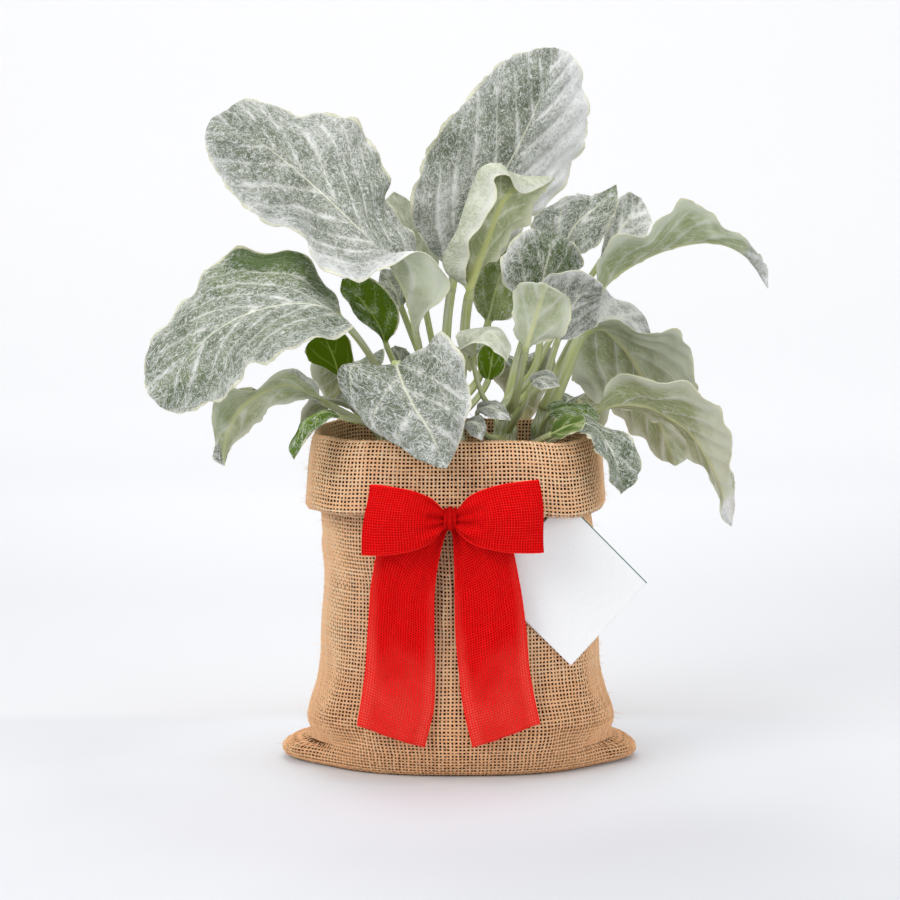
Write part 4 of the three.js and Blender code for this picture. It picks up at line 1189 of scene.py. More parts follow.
        left=[[7, -52, 193], [12, -56, 195], [16, -64, 190]],
        right=[[5, -66, 189], [9, -72, 186]],
    ),
    "grey_left_back": Leaf(
        stem=1, root=180, waves=1, petiole=[-27, 22, 197],
        rib=[[-29, 30, 212], [-31, 32, 218], [-34, 36, 226]],
        left=[[-34, 30, 215], [-38, 34, 223]],
        right=[[-24, 26, 216], [-27, 30, 224]],
    ),
    "olive_small": Leaf(
        stem=2, root=181, waves=1, petiole=[-20, 22, 222],
        rib=[[-30, 30, 247], [-35, 36, 259], [-42, 42, 269]],
        left=[[-35, 32, 252], [-43, 38, 259]],
        right=[[-25, 28, 256], [-30, 34, 267]],
    ),
}


@dataclass
class FarLeaf:
    """A leaf on the far side: it leaves its stem at a heading, rises over its reach and bends down."""

    stem: int
    root: float
    heading: float
    reach: float
    rise: float
    drop: float
    half: float

    BEND_AT = 0.62
    LIFT = 5.0
    MARGIN = ((0.5, 0.7), (0.66, 1.0), (0.84, 1.0))

    def place(self, run: float, aside: float = 0.0, lift: float = 0.0) -> Point:
        """The point at a share of the reach, that far aside and lifted that much off the arch."""
        turn, stem = math.radians(self.heading), STEMS[self.stem - 1]
        rise = self.rise * math.sin(math.pi / 2 * min(run / self.BEND_AT, 1))
        height = rise - self.drop * max((run - self.BEND_AT) / (1 - self.BEND_AT), 0) ** 2
        x = stem.x + self.reach * run * math.cos(turn) + aside * math.sin(turn)
        y = stem.y + self.reach * run * math.sin(turn) - aside * math.cos(turn)
        return [x, y, self.root + height + lift]

    def leaf(self) -> Leaf:
        """The leaf that follows from the rule."""
        margins = [
            [self.place(run, side * self.half * share, self.LIFT) for run, share in self.MARGIN]
            for side in (-1, 1)
        ]
        rib = [self.place(run) for run in (0.38, 0.55, 0.75, 1.0)]
        return Leaf(
            stem=self.stem, root=self.root, petiole=self.place(0.2), rib=rib, left=margins[0],
            right=margins[1], waves=3, wave=1.6, thick=2.1, cover=Cover.MOTTLED,
        )


FAR_LEAVES = [
    FarLeaf(1, 171, 118, 84, 46, 30, 19),
    FarLeaf(2, 170, 102, 92, 36, 40, 20),
    FarLeaf(3, 174, 82, 104, 44, 46, 18),
    FarLeaf(4, 170, 70, 96, 25, 34, 16),
    FarLeaf(1, 166, 152, 62, 30, 26, 14),
    FarLeaf(2, 176, 84, 104, 46, 16, 17),
]


@dataclass(frozen=True)
class StemFinish:
    """A soft felted stem, yellow-green between whitish hairs."""

    name: str = "stem_felt"
    green: Colour = (0.30, 0.36, 0.13)
    hairs: Colour = (0.66, 0.69, 0.56)

    def material(self) -> bpy.types.Material:
        """Builds the finish: hairs in streaks up the stem."""
        finish = Finish(self.name, roughness=0.85)
        streaks = finish.streaks(0.0, (0.6, 5.0), 2.0)
        colour = finish.mix(streaks.step(0.4, 0.65), self.green, self.hairs)
        finish.coat(base_color=colour, normal=finish.bump(streaks, 0.0004))
        return finish.material


@dataclass
class Plant:
    """The stems and their leaves."""

    stem_radius: float = 7.0
    stem_bottom: float = 131.0
    stem_rings: int = 60
    stem_sides: int = 32

    def build(self) -> None:
        """Builds each stem and each leaf as a piece that stands for its CAD node."""
        felt = StemFinish().material()
        for number, stem in enumerate(STEMS, 1):
            self.build_stem(f"stem_{number}", stem, felt)
        finishes = {cover: finish.material() for cover, finish in LEAF_FINISHES.items()}
        every = {**LEAVES, **{f"far_{i}": far.leaf() for i, far in enumerate(FAR_LEAVES, 1)}}
        for name, leaf in every.items():
            points, faces, uv, values = leaf.build(name)
            piece = make_piece(f"{name}_leaf", points, faces, finishes[leaf.cover], uv, values)
            place_piece(piece, "green_leaf" if leaf.cover in GREEN_COVERS else "silver_leaf", f"leaf_{name}")

    def build_stem(self, name: str, stem: Stem, finish: bpy.types.Material) -> None:
        """A turned post with a round top, swollen at its leaf scars: radius = r (1 + 0.07 sin z)."""
        share = np.linspace(0, 1, self.stem_rings)[:, None]
        height = self.stem_bottom + (stem.top - self.stem_bottom) * share
        turn = circle(self.stem_sides)[None, :]
        scars = 1 + 0.07 * np.sin(0.55 * height + 1.5 * np.sin(turn + stem.x)) + 0.03 * np.sin(5 * turn)
        round_top = np.sqrt(np.clip(1 - smooth_step(share, 0.55, 1.0) ** 2, 0, 1))
        radius = self.stem_radius * scars * (0.12 + 0.88 * round_top)
        points = turned_points(radius, height, turn) + np.array([stem.x, stem.y, 0.0])
        uv = np.stack([turn * self.stem_radius + 0 * height, height + 0 * turn], -1)
        faces = tube_faces(self.stem_rings, self.stem_sides)
        place_piece(make_piece(f"{name}_felted", points, faces, finish, uv), "stem", name)


@dataclass(frozen=True)
class SoilFinish:
    """Moist potting soil: dark crumbs with brown fibres."""

    name: str = "potting_soil"
    dark: Colour = (0.022, 0.015, 0.010)
    brown: Colour = (0.085, 0.052, 0.030)

    def material(self) -> bpy.types.Material:
        """Builds the finish from two sizes of noise."""
        finish = Finish(self.name, roughness=0.95)
        grain = finish.noise(finish.place(), 700.0, 3.0)
        patches = finish.noise(finish.place(), 160.0, 1.0)
        colour = finish.mix((grain * 0.7 + patches * 0.3).step(0.42, 0.66), self.dark, self.brown)
        finish.coat(base_color=colour, normal=finish.bump(grain, 0.0008))
        return finish.material


@dataclass(frozen=True)
class PotFinish:
    """The nursery pot's thin black plastic."""

    name: str = "pot_plastic"
    black: Colour = (0.018, 0.018, 0.019)
    scuffed: Colour = (0.05, 0.05, 0.052)

    def material(self) -> bpy.types.Material:
        """Builds the finish with faint scuffs."""
        finish = Finish(self.name)
        scuffs = finish.noise(finish.place(), 90.0, 4.0)
        finish.coat(
            base_color=finish.mix(scuffs.step(0.45, 0.75), self.black, self.scuffed),
            roughness=scuffs.step(0.3, 0.8) * 0.25 + 0.42, normal=finish.bump(scuffs, 0.0003, 0.4),
        )
        return finish.material


@dataclass
class PottedSoil:
    """The nursery pot and the soil that fills it."""

    bottom: float = 1.8
    rim: float = 160.0
    bottom_radius: float = 47.0
    top_radius: float = 61.0
    wall: float = 1.2
    lip: float = 1.4
    lip_depth: float = 8.0
    soil_top: float = 155.0
    soil_gap: float = 0.7
    heap: float = 1.6
    rings: int = 30
    sides: int = 110
    pot_sides: int = 96
    crumbs: int = 520

    def radius_at(self, height: float) -> float:
        """The pot's outer radius at a height."""
        share = (height - self.bottom) / (self.rim - self.bottom)
        return self.bottom_radius + (self.top_radius - self.bottom_radius) * share

    def build(self) -> None:
        """Builds the pot, the soil and its crumbs."""
        self.build_pot()
        self.build_soil()

    def build_pot(self) -> None:
        """A turned profile of radius and height: outside with a rolled lip, over the rim and down inside."""
        under = self.rim - self.lip_depth
        outer, foot, top, floor = self.radius_at(under), self.bottom_radius, self.top_radius, self.bottom
        inner_foot, inner_top, inner_floor = foot - self.wall, top - self.wall, floor + self.wall
        profile = [
            [0.5, floor], [foot - 1, floor], [foot, floor + 1], [outer, under - 1], [outer + 0.4, under],
            [outer + self.lip, under + 0.5], [top + self.lip, self.rim - 0.8], [top + 0.6, self.rim],
            [inner_top + 0.4, self.rim - 0.3], [inner_top, self.rim - 1.5], [inner_foot, inner_floor + 1],
            [inner_foot - 1, inner_floor], [0.5, inner_floor],
        ]
        radius, height = (np.array(column)[:, None] for column in zip(*profile))
        points = turned_points(radius, height, circle(self.pot_sides)[None, :])
        faces = tube_faces(len(profile), self.pot_sides)
        piece = make_piece("pot_shell", points, faces, PotFinish().material())
        place_piece(piece, "pot_plastic", "nursery_pot")

    def build_soil(self) -> None:
        """The soil's heaped top and side in one turned skin, roughened by noise, with crumbs on it.

        A crumb is an eight-cornered lump whose corners are moved at random.
        """
        rng = np.random.default_rng(SEED)
        edge = self.radius_at(self.soil_top) - self.wall - self.soil_gap
        share = np.linspace(0.01, 1, self.rings)[:, None]
        turn = circle(self.sides)[None, :]
        rough = 0.9 * wander((self.rings, self.sides), 2, rng) * (share < 0.98)
        top = turned_points(edge * share, self.soil_top + self.heap * (1 - share**4) + rough, turn)
        floor_radius = self.bottom_radius - self.wall - self.soil_gap
        points = np.concatenate([top, turned_points(floor_radius, self.bottom + 2, turn)]).reshape(-1, 3)
        faces = [part[:, ::-1] for part in tube_faces(self.rings + 1, self.sides)]
        lumps, lump_faces = self.crumb_mesh(edge, rng)
        faces.append(lump_faces + len(points))
        points = np.concatenate([points, lumps])
        place_piece(make_piece("soil_crumbs", points, faces, SoilFinish().material()), "soil", "soil")

    def crumb_mesh(self, edge: float, rng: np.random.Generator) -> tuple[Array, NDArray]:
        """The points and faces of the crumbs, spread over the heap inside the edge's radius."""
        corners = np.array([[x, y, z] for x in (-1, 1) for y in (-1, 1) for z in (-1, 1)], dtype=float)
        box = np.array([[0, 1, 3, 2], [4, 6, 7, 5], [0, 4, 5, 1], [2, 3, 7, 6], [0, 2, 6, 4], [1, 5, 7, 3]])
        size = rng.uniform(0.5, 1.5, (self.crumbs, 1, 1)) * rng.uniform(0.6, 1.3, (self.crumbs, 1, 3))
        lumps = unit(corners + rng.normal(0, 0.35, (self.crumbs, 8, 3))) * size
        away = edge * np.sqrt(rng.uniform(0, 0.94, self.crumbs))
        around = rng.uniform(0, 2 * math.pi, self.crumbs)
        lift = self.soil_top + (self.heap + 0.1) * (1 - (away / edge) ** 4) + 0.4
        lumps += np.stack([away * np.cos(around), away * np.sin(around), lift], -1)[:, None]
        faces = box[None] + 8 * np.arange(self.crumbs)[:, None, None]
        return lumps.reshape(-1, 3), faces.reshape(-1, 4)


@dataclass(frozen=True)
class HessianFinish:
    """Jute yarn: tan, each thread a little lighter or darker, with fine fibres along it."""

    name: str = "hessian_yarn"
    dark: Colour = (0.66, 0.28, 0.11)
    tan: Colour = (1.0, 0.60, 0.33)
    light: Colour = (1.0, 0.83, 0.58)

    def material(self) -> bpy.types.Material:
        """Builds the finish: the thread's own tone, with painted shade lowering it near the floor, fibres
        along it, and painted shade on the flanks where each thread dips under its neighbours.
        """
        finish = Finish(self.name, roughness=0.92, specular_ior_level=0.05)
        across, height = finish.part(finish.flat(), 0), finish.part(finish.place(), 2)
        fibres = finish.streaks(14.0, (0.16, 1.9), 2.0)
        # Painted shade: the last term darkens the yarn within about 85 mm of the floor.
        tone = finish.value("tone") * 0.038 + fibres - 0.10 * (1.0 - height.step(0.015, 0.085))
        colour = finish.mix(tone.step(0.18, 0.42), self.dark, self.tan)
        colour = finish.mix(tone.step(0.45, 0.69), colour, self.light)
        # Painted shade on each thread's flanks, where it dips under its neighbours.
        colour = finish.mix(across.size().step(0.6, 1.0) * 0.3, colour, self.dark)
        finish.coat(base_color=colour, normal=finish.bump(fibres, 0.0003))
        return finish.material


@dataclass(frozen=True)
class ShadeSheetFinish:
    """Painted shade: a dark sheet that shows between the threads where there is only shade, with faint
    threads of its own.
    """

    name: str = "hessian_shade"
    # Painted shade: a near-black gap and faint dark threads, standing for the shade seen through the weave.
    painted_gap: Colour = (0.02, 0.004, 0.001)
    thread: Colour = (0.07, 0.018, 0.005)

    def material(self) -> bpy.types.Material:
        """Builds the painted shade: soft upright lines at the thread pitch."""
        finish = Finish(self.name, roughness=1.0, specular_ior_level=0.0)
        across = finish.part(finish.place(), 0) / (THREAD_PITCH * MM)
        lines = across.off_whole().step(0.1, 0.5) * 0.8
        finish.coat(base_color=finish.mix(lines, self.painted_gap, self.thread))
        return finish.material


class Skin:
    """The sack's cloth as a surface: u is the fraction round it, v the distance up its profile."""

    ROUND = (78.0, 66.0, 2.7)
    SAMPLES = 20001
    STEP_ROUND = 0.0015
    STEP_UP = 0.6

    def __init__(self, sack: "Sack", levels: list[tuple[float, ...]]) -> None:
        """Reads a profile.

        Args:
            sack: The sack that it is part of.
            levels: Height, half width, half depth, squareness and reach of the ears, in order up the cloth.
        """
        self.sack = sack
        self.profile = Line([list(level) for level in levels]).points
        height, width, depth = self.profile[:, 0], self.profile[:, 1], self.profile[:, 2]
        steps = np.hypot(np.diff(height), (np.diff(width) + np.diff(depth)) / 2)
        self.lengths = np.concatenate([[0.0], np.cumsum(steps)])
        angles = np.linspace(0, 2 * math.pi, self.SAMPLES)
        ring = self.ring(angles, *self.ROUND)
        along = np.concatenate([[0.0], np.cumsum(np.linalg.norm(np.diff(ring, axis=0), axis=1))])
        self.angles, self.fractions, self.perimeter = angles, along / along[-1], float(along[-1])

    @property
    def length(self) -> float:
        """The length of the profile."""
        return float(self.lengths[-1])

    @staticmethod
    def ring(angle: Array, width: Array, depth: Array, squareness: Array) -> Array:
        """A superellipse: x = w |cos|^(2/n), y = d |sin|^(2/n), each with its sign."""
        c, s, power = np.cos(angle), np.sin(angle), 2.0 / squareness
        x, y = np.sign(c) * width * np.abs(c) ** power, np.sign(s) * depth * np.abs(s) ** power
        return np.stack([x, y], -1)

    def at(self, u: Array, v: Array) -> Array:
        """The cloth's points, with the ears, the folds and the rim's waves.

        The angle's sine and cosine are raised to the level's squareness over the mean one, which keeps the
        threads even where the ring is squarer.
        """
        u, v = np.broadcast_arrays(u, v)
        height, width, depth, squareness, ear = (np.interp(v, self.lengths, part) for part in self.profile.T)
        angle = np.interp(u % 1.0, self.fractions, self.angles)
        power = squareness / self.ROUND[2]
        c, s = (np.sign(part) * np.abs(part) ** power for part in (np.cos(angle), np.sin(angle)))
        angle = np.arctan2(s, c)
        flat = self.ring(angle, width, depth, squareness)
        c = np.cos(angle)
        x = flat[..., 0] + np.sign(c) * ear * np.abs(c) ** self.sack.ear_sharpness
        upper = smooth_step(height, self.sack.shift_from, self.sack.hem)
        x, y = x + self.sack.body_middle * (1 - upper), flat[..., 1]
        out = unit(np.stack([x / width**2, y / depth**2], -1))
        fold = self.sack.folds(x, y, height) * (1 - upper)
        wave = self.sack.rim_wave * (np.sin(3 * angle + 1) + 0.6 * np.sin(5 * angle + 2.2)) * upper
        wave = wave + self.sack.rim_ripple * np.sin(9 * angle + 0.5) * upper
        return np.stack([x + out[..., 0] * fold, y + out[..., 1] * fold, height + wave], -1)

    def frame_at(self, u: Array, v: Array) -> tuple[Array, Array, Array, Array]:
        """The points with the unit directions round, up the profile and out of the cloth."""
        low, high = np.maximum(v - self.STEP_UP, 0), np.minimum(v + self.STEP_UP, self.length)
        around = unit(self.at(u + self.STEP_ROUND, v) - self.at(u - self.STEP_ROUND, v))
        along = unit(self.at(u, high) - self.at(u, low))
        return self.at(u, v), around, along, unit(np.cross(around, along))


@dataclass
class Sack:
    """A hessian sack of woven threads over a dark sheet of painted shade, with two ears below and a folded
    cuff above.
    """

    hem: float = 145.0
    shift_from: float = 100.0
    body_middle: float = 2.5
    ear_sharpness: float = 12.0
    rim_wave: float = 0.9
    rim_ripple: float = 0.35
    thread: float = 1.0
    weave_height: float = 0.36
    drift: float = 0.035
    arch: float = 0.30
    flank_depth: float = 0.22
    # The dark sheet of painted shade lies this far inside the threads, with these points round and rings up.
    shade_sheet_gap: float = 0.7
    shade_sheet_sides: int = 120
    shade_sheet_rings: int = 50
    fibres: int = 5200
    fibre_half: float = 0.11
    fibre_stations: int = 5
    back_fold: float = 0.55
    body_levels: tuple = (
        (0.8, 76, 49, 2.5, 12), (2.5, 78, 53, 2.5, 18), (6, 79, 56, 2.5, 18.5), (10, 79, 59, 2.6, 13),
        (13, 79, 61, 2.6, 4), (17, 80.5, 62.5, 2.6, 0), (28, 82.5, 65, 2.7, 0), (45, 78.5, 66.5, 2.7, 0),
        (68, 75, 66.5, 2.8, 0), (92, 74, 65.5, 2.8, 0), (124, 74.5, 65, 2.8, 0), (145, 73, 64.6, 2.9, 0),
        (160, 73.5, 64.6, 3, 0),
    )
    cuff_levels: tuple = (
        (158, 78, 71, 3.2, 0), (150, 79, 73, 3.3, 0), (145.2, 79.6, 74.4, 3.4, 0),
        (144.2, 80.3, 75.2, 3.4, 0), (146, 81, 75.8, 3.4, 0), (154, 80.6, 74.2, 3.3, 0),
        (166, 79.8, 71.4, 3.2, 0), (176, 78.6, 69.2, 3.1, 0), (181, 77.4, 67.6, 3, 0),
        (182.5, 75.8, 66, 3, 0), (181, 74.2, 64.4, 3, 0), (174, 73.6, 63.6, 3, 0), (160, 73.2, 63.4, 3, 0),
        (146, 72.6, 63.2, 2.9, 0),
    )
    # Each fold: foot x and z, head x and z, height and half width. The front's show fainter behind.
    creases: tuple = (
        (-90, 6, -62, 46, 2.6, 6.0), (-88, 4, -50, 22, -2.2, 5.0), (-76, 20, -66, 70, -1.6, 5.0),
        (92, 6, 68, 50, 2.8, 6.0), (90, 4, 56, 24, -2.4, 5.0), (80, 18, 72, 66, -1.6, 5.0),
        (-64, 142, -44, 112, 1.6, 5.0), (-72, 140, -60, 96, -1.5, 5.0), (-40, 142, -30, 120, -1.4, 4.0),
        (-3, 150, -5, 84, 5.0, 5.0), (-13, 146, -10, 100, -2.0, 4.5), (8, 146, 4, 100, -2.0, 4.5),
        (62, 142, 56, 110, 1.5, 5.0), (70, 120, 60, 84, -1.3, 6.0), (30, 60, 52, 14, 1.0, 8.0),
        (-30, 56, -48, 14, 1.0, 8.0), (-78, 146, -74, 126, -4.0, 9.0), (-56, 100, -66, 60, 1.6, 9.0),
        (56, 90, 70, 52, 1.6, 9.0),
    )

    def folds(self, x: Array, y: Array, height: Array) -> Array:
        """How far the folds lift the cloth: a bell across each crease, which fades towards its ends, and
        slow waves between them."""
        lift = 0.9 * np.sin(0.055 * x + 0.031 * height + 0.6) * np.sin(0.043 * height - 0.02 * x)
        lift = lift + 0.35 * np.sin(0.16 * x - 0.11 * height) * np.sign(y)
        for x0, z0, x1, z1, size, half in self.creases:
            along = np.array([x1 - x0, z1 - z0], dtype=float)
            share = ((x - x0) * along[0] + (height - z0) * along[1]) / (along @ along)
            near = np.clip(share, 0, 1)
            off = np.hypot(x - x0 - near * along[0], height - z0 - near * along[1])
            fade = smooth_step(share, -0.3, 0.25) * (1 - smooth_step(share, 0.75, 1.3))
            lift = lift + size * bell(off, half) * fade * np.where(y < 8, 1.0, self.back_fold)
        return lift * smooth_step(height, 0.5, 9.0)

    def build(self) -> None:
        body, cuff = Skin(self, list(self.body_levels)), Skin(self, list(self.cuff_levels))
        yarn = HessianFinish().material()
        rng = np.random.default_rng(SEED + 1)
        # The dark sheet under the threads is painted shade.
        inside, threads = self.build_shade_sheet(body, cuff), []
        for name, skin in (("body", body), ("cuff", cuff)):
            warps = 2 * round(skin.perimeter / THREAD_PITCH / 2)
            wefts = round(skin.length / THREAD_PITCH)
            threads.append(self.upright_threads(f"sack_{name}_warp", skin, warps, wefts, yarn, rng))
            threads.append(self.level_threads(f"sack_{name}_weft", skin, warps, wefts, yarn, rng))
        threads.append(self.build_fibres([body, cuff], yarn, rng))
        for piece in threads:
            place_piece(piece, "hessian")

    def thread_mesh(
        self, name: str, middle: Array, side: Array, out: Array, width: Array, lift: Array, closed: bool,
        along: Array, tone: Array, yarn: bpy.types.Material,
    ) -> bpy.types.Object:
        """Threads as arched strips, three points across.

        Args:
            name: The piece's name.
            middle: The threads' middle lines, threads × stations.
            side: The direction across each.
            out: The direction out of the cloth.
            width: The thread's width.
            lift: How far it rises over its neighbours or dips under them.
            closed: Whether each thread is a ring.
            along: The distance along it.
            tone: How light it is.
            yarn: The finish.

        Returns:
            The object.
        """
        threads, stations = middle.shape[:2]
        ridge, flank = (lift + self.arch * width)[..., None], (lift - self.flank_depth)[..., None]
        low, half = middle + out * flank, side * (width / 2)[..., None]
        points = np.stack([low - half, middle + out * ridge, low + half], axis=2)
        one = grid_faces(stations, 3, ring_rows=closed)
        faces = (one[None] + 3 * stations * np.arange(threads)[:, None, None]).reshape(-1, 4)
        along, tone = (np.repeat(numbers[..., None], 3, 2) for numbers in (along, tone))
        uv = np.stack([np.broadcast_to([-1.0, 0.0, 1.0], points.shape[:3]), along], -1)
        return make_piece(name, points, [faces], yarn, uv, {"tone": tone})

    def upright_threads(
        self, name: str, skin: Skin, warps: int, wefts: int, yarn: bpy.types.Material,
        rng: np.random.Generator,
    ) -> bpy.types.Object:
        """The warp: over one weft and under the next, lift = a cos(π (k + j)) at weft k and thread j."""
        j = np.arange(warps)[:, None]
        k = np.arange(0, wefts + 0.25, 0.5)[None, :]
        drift = self.drift * wander((warps, k.shape[1]), 8, rng)
        u, v = (j + drift) / warps, k / wefts * skin.length + 0 * j
        middle, around, _, out = skin.frame_at(u, v)
        uneven = 0.07 * wander((warps, 1), 0, rng) + 0.10 * wander(u.shape, 3, rng)
        width, lift = self.thread * (1 + uneven), self.weave_height * np.cos(math.pi * (k + j))
        tone = wander((warps, 1), 0, rng) + 0.5 * wander(u.shape, 8, rng)
        return self.thread_mesh(name, middle, around, out, width, lift, False, v, tone, yarn)

    def level_threads(
        self, name: str, skin: Skin, warps: int, wefts: int, yarn: bpy.types.Material,
        rng: np.random.Generator,
    ) -> bpy.types.Object:
        """The weft, in closed rings: under where the warp is over."""
        k = np.arange(wefts + 1)[:, None]
        j = np.arange(0, warps, 0.5)[None, :]
        drift = self.drift * wander((wefts + 1, j.shape[1]), 8, rng)
        u, v = j / warps + 0 * k, np.clip((k + drift) / wefts, 0, 1) * skin.length
        middle, _, along, out = skin.frame_at(u, v)
        uneven = 0.07 * wander((wefts + 1, 2), 0, rng)[:, :1] + 0.10 * wander(u.shape, 3, rng)
        width, lift = self.thread * (1 + uneven), -self.weave_height * np.cos(math.pi * (k + j))
        tone = wander((wefts + 1, 2), 0, rng)[:, :1] + 0.5 * wander(u.shape, 8, rng)
        return self.thread_mesh(name, middle, -along, out, width, lift, True, u * skin.perimeter, tone, yarn)

    def build_shade_sheet(self, body: Skin, cuff: Skin) -> bpy.types.Object:
        """Painted shade under the threads: a dark sheet inside each surface, closed under the bottom."""
        sides, rings = self.shade_sheet_sides, []
        u = np.linspace(0, 1, sides, endpoint=False)[None, :]
        for skin in (body, cuff):
            v = np.linspace(0, skin.length, self.shade_sheet_rings)[:, None] + 0 * u
            middle, _, _, out = skin.frame_at(u + 0 * v, v)
            rings.append(middle - out * self.shade_sheet_gap)
        under = np.concatenate([rings[0][:1] * np.array([s, s, 0.0]) for s in (0.05, 0.4, 0.8, 1.0)])
        under[..., 0] += self.body_middle * (1 - np.linspace(0, 1, len(under))[:, None])
        body_rings = np.concatenate([under, rings[0]])
        cuff_faces = grid_faces(self.shade_sheet_rings, sides, ring_columns=True) + len(body_rings) * sides
        faces = [*tube_faces(len(body_rings), sides)[:2], cuff_faces]
        points = np.concatenate([body_rings, rings[1]])
        piece = make_piece("sack_shade_sheet", points, faces, ShadeSheetFinish().material())
        place_piece(piece, "hessian", "sack")
        return piece

    def build_fibres(
        self, skins: list[Skin], yarn: bpy.types.Material, rng: np.random.Generator
    ) -> bpy.types.Object:
        """Loose fibres: thin strips that leave the cloth and curl, point = start + s·lean + s²·curl."""
        count, stations = self.fibres // len(skins), self.fibre_stations
        steps = np.linspace(0, 1, stations)[None, :, None]
        half = self.fibre_half * (1 - 0.8 * steps)
        parts = []
        for skin in skins:
            u, v = rng.uniform(0, 1, count), rng.uniform(0, skin.length, count)
            start, around, along, out = skin.frame_at(u, v)
            turn = rng.uniform(0, 2 * math.pi, (count, 1))
            lean = around * np.cos(turn) + along * np.sin(turn) + out * rng.uniform(0.15, 0.9, (count, 1))
            curl = rng.normal(0, 0.09, (count, 3)) - 0.05 * out
            side = unit(np.cross(unit(lean), out + 0.01))[:, None]
            away = rng.uniform(1.5, 6.0, (count, 1))[:, None] * steps
            line = start[:, None] + 0.35 * out[:, None] + lean[:, None] * away + curl[:, None] * away**2
            line[..., 2] = np.maximum(line[..., 2], 0.3)
            parts.append(np.stack([line - side * half, line + side * half], axis=2))
        points = np.concatenate(parts)
        one, each = grid_faces(stations, 2), 2 * stations
        faces = (one[None] + each * np.arange(len(points))[:, None, None]).reshape(-1, 4)
        tone = np.repeat(rng.normal(2.2, 0.6, len(points)), each)
        return make_piece("sack_fibres", points, [faces], yarn, points[..., :2] * 0.0, {"tone": tone})


@dataclass(frozen=True)
class RibbonFinish:
    """An open-weave ribbon: saturated red thread, with painted shade in the gaps and a painted highlight on
    the crossings, and a cord at each edge.
    """

    name: str = "ribbon_weave"
    thread: Colour = (0.94, 0.004, 0.005)
    # Painted highlight on the tops of the thread crossings.
    bright: Colour = (1.0, 0.06, 0.045)
    # Painted shade in the gaps; lit is the painted light that shows through them.
    painted_gap: Colour = (0.54, 0.001, 0.002)
    lit: Colour = (0.95, 0.115, 0.08)
    pitch: float = 1.4
    free_from: float = 112.0
    cord: float = 1.0

    def material(self) -> bpy.types.Material:
        """Builds the finish: two crossing sets of threads, each thread uneven along its length, with painted
        highlights on their crossings, over gaps painted dark as shade, or painted as lit through where the
        ribbon hangs free: towards its edges and its cut end."""
        finish = Finish(self.name, roughness=0.8, specular_ior_level=0.02)
        sway = finish.noise(finish.flat(), 0.10, 2.0)
        across, along = finish.part(finish.flat(), 0), finish.part(finish.flat(), 1)
        sets = []
        for place, angle in ((across, 0.0), (along, 90.0)):
            ridge = 1.0 - (place / self.pitch + sway * 0.9).off_whole() * 2.0
            sets.append(ridge + 0.5 * finish.streaks(angle, (0.6, 9.0), 1.0))
        cover = sets[0].above(sets[1])
        solid = cover.step(0.70, 1.04)
        aside = across.size()
        edge = aside.step(RIBBON_WIDTH / 2 - self.cord, RIBBON_WIDTH / 2 - self.cord / 2)
        free = along.step(self.free_from, self.free_from + 55.0) * 0.55 + aside.step(11.0, 18.0) * 0.45
        free = free * along.step(self.free_from - 40.0, self.free_from)
        free = free + 0.45 * (finish.noise(finish.flat(), 0.055, 2.0) - 0.5)
        # Painted light and shade in the gaps: dark as shade, coloured as lit through where the ribbon hangs
        # free.
        lit = free.step(0.15, 0.9)
        painted_gap = finish.mix(lit, self.painted_gap, self.lit)
        colour = finish.mix(solid.above(edge), painted_gap, self.thread)
        # Painted highlight on the crossings' tops, stronger where the gaps are painted lit, and faint on the
        # cords.
        light = cover.step(0.98, 1.4) * (0.4 + 0.5 * lit)
        colour = finish.mix(light.above(edge * 0.2), colour, self.bright)
        finish.coat(base_color=colour, normal=finish.bump(cover.above(edge * 1.4), 0.0006))
        return finish.material


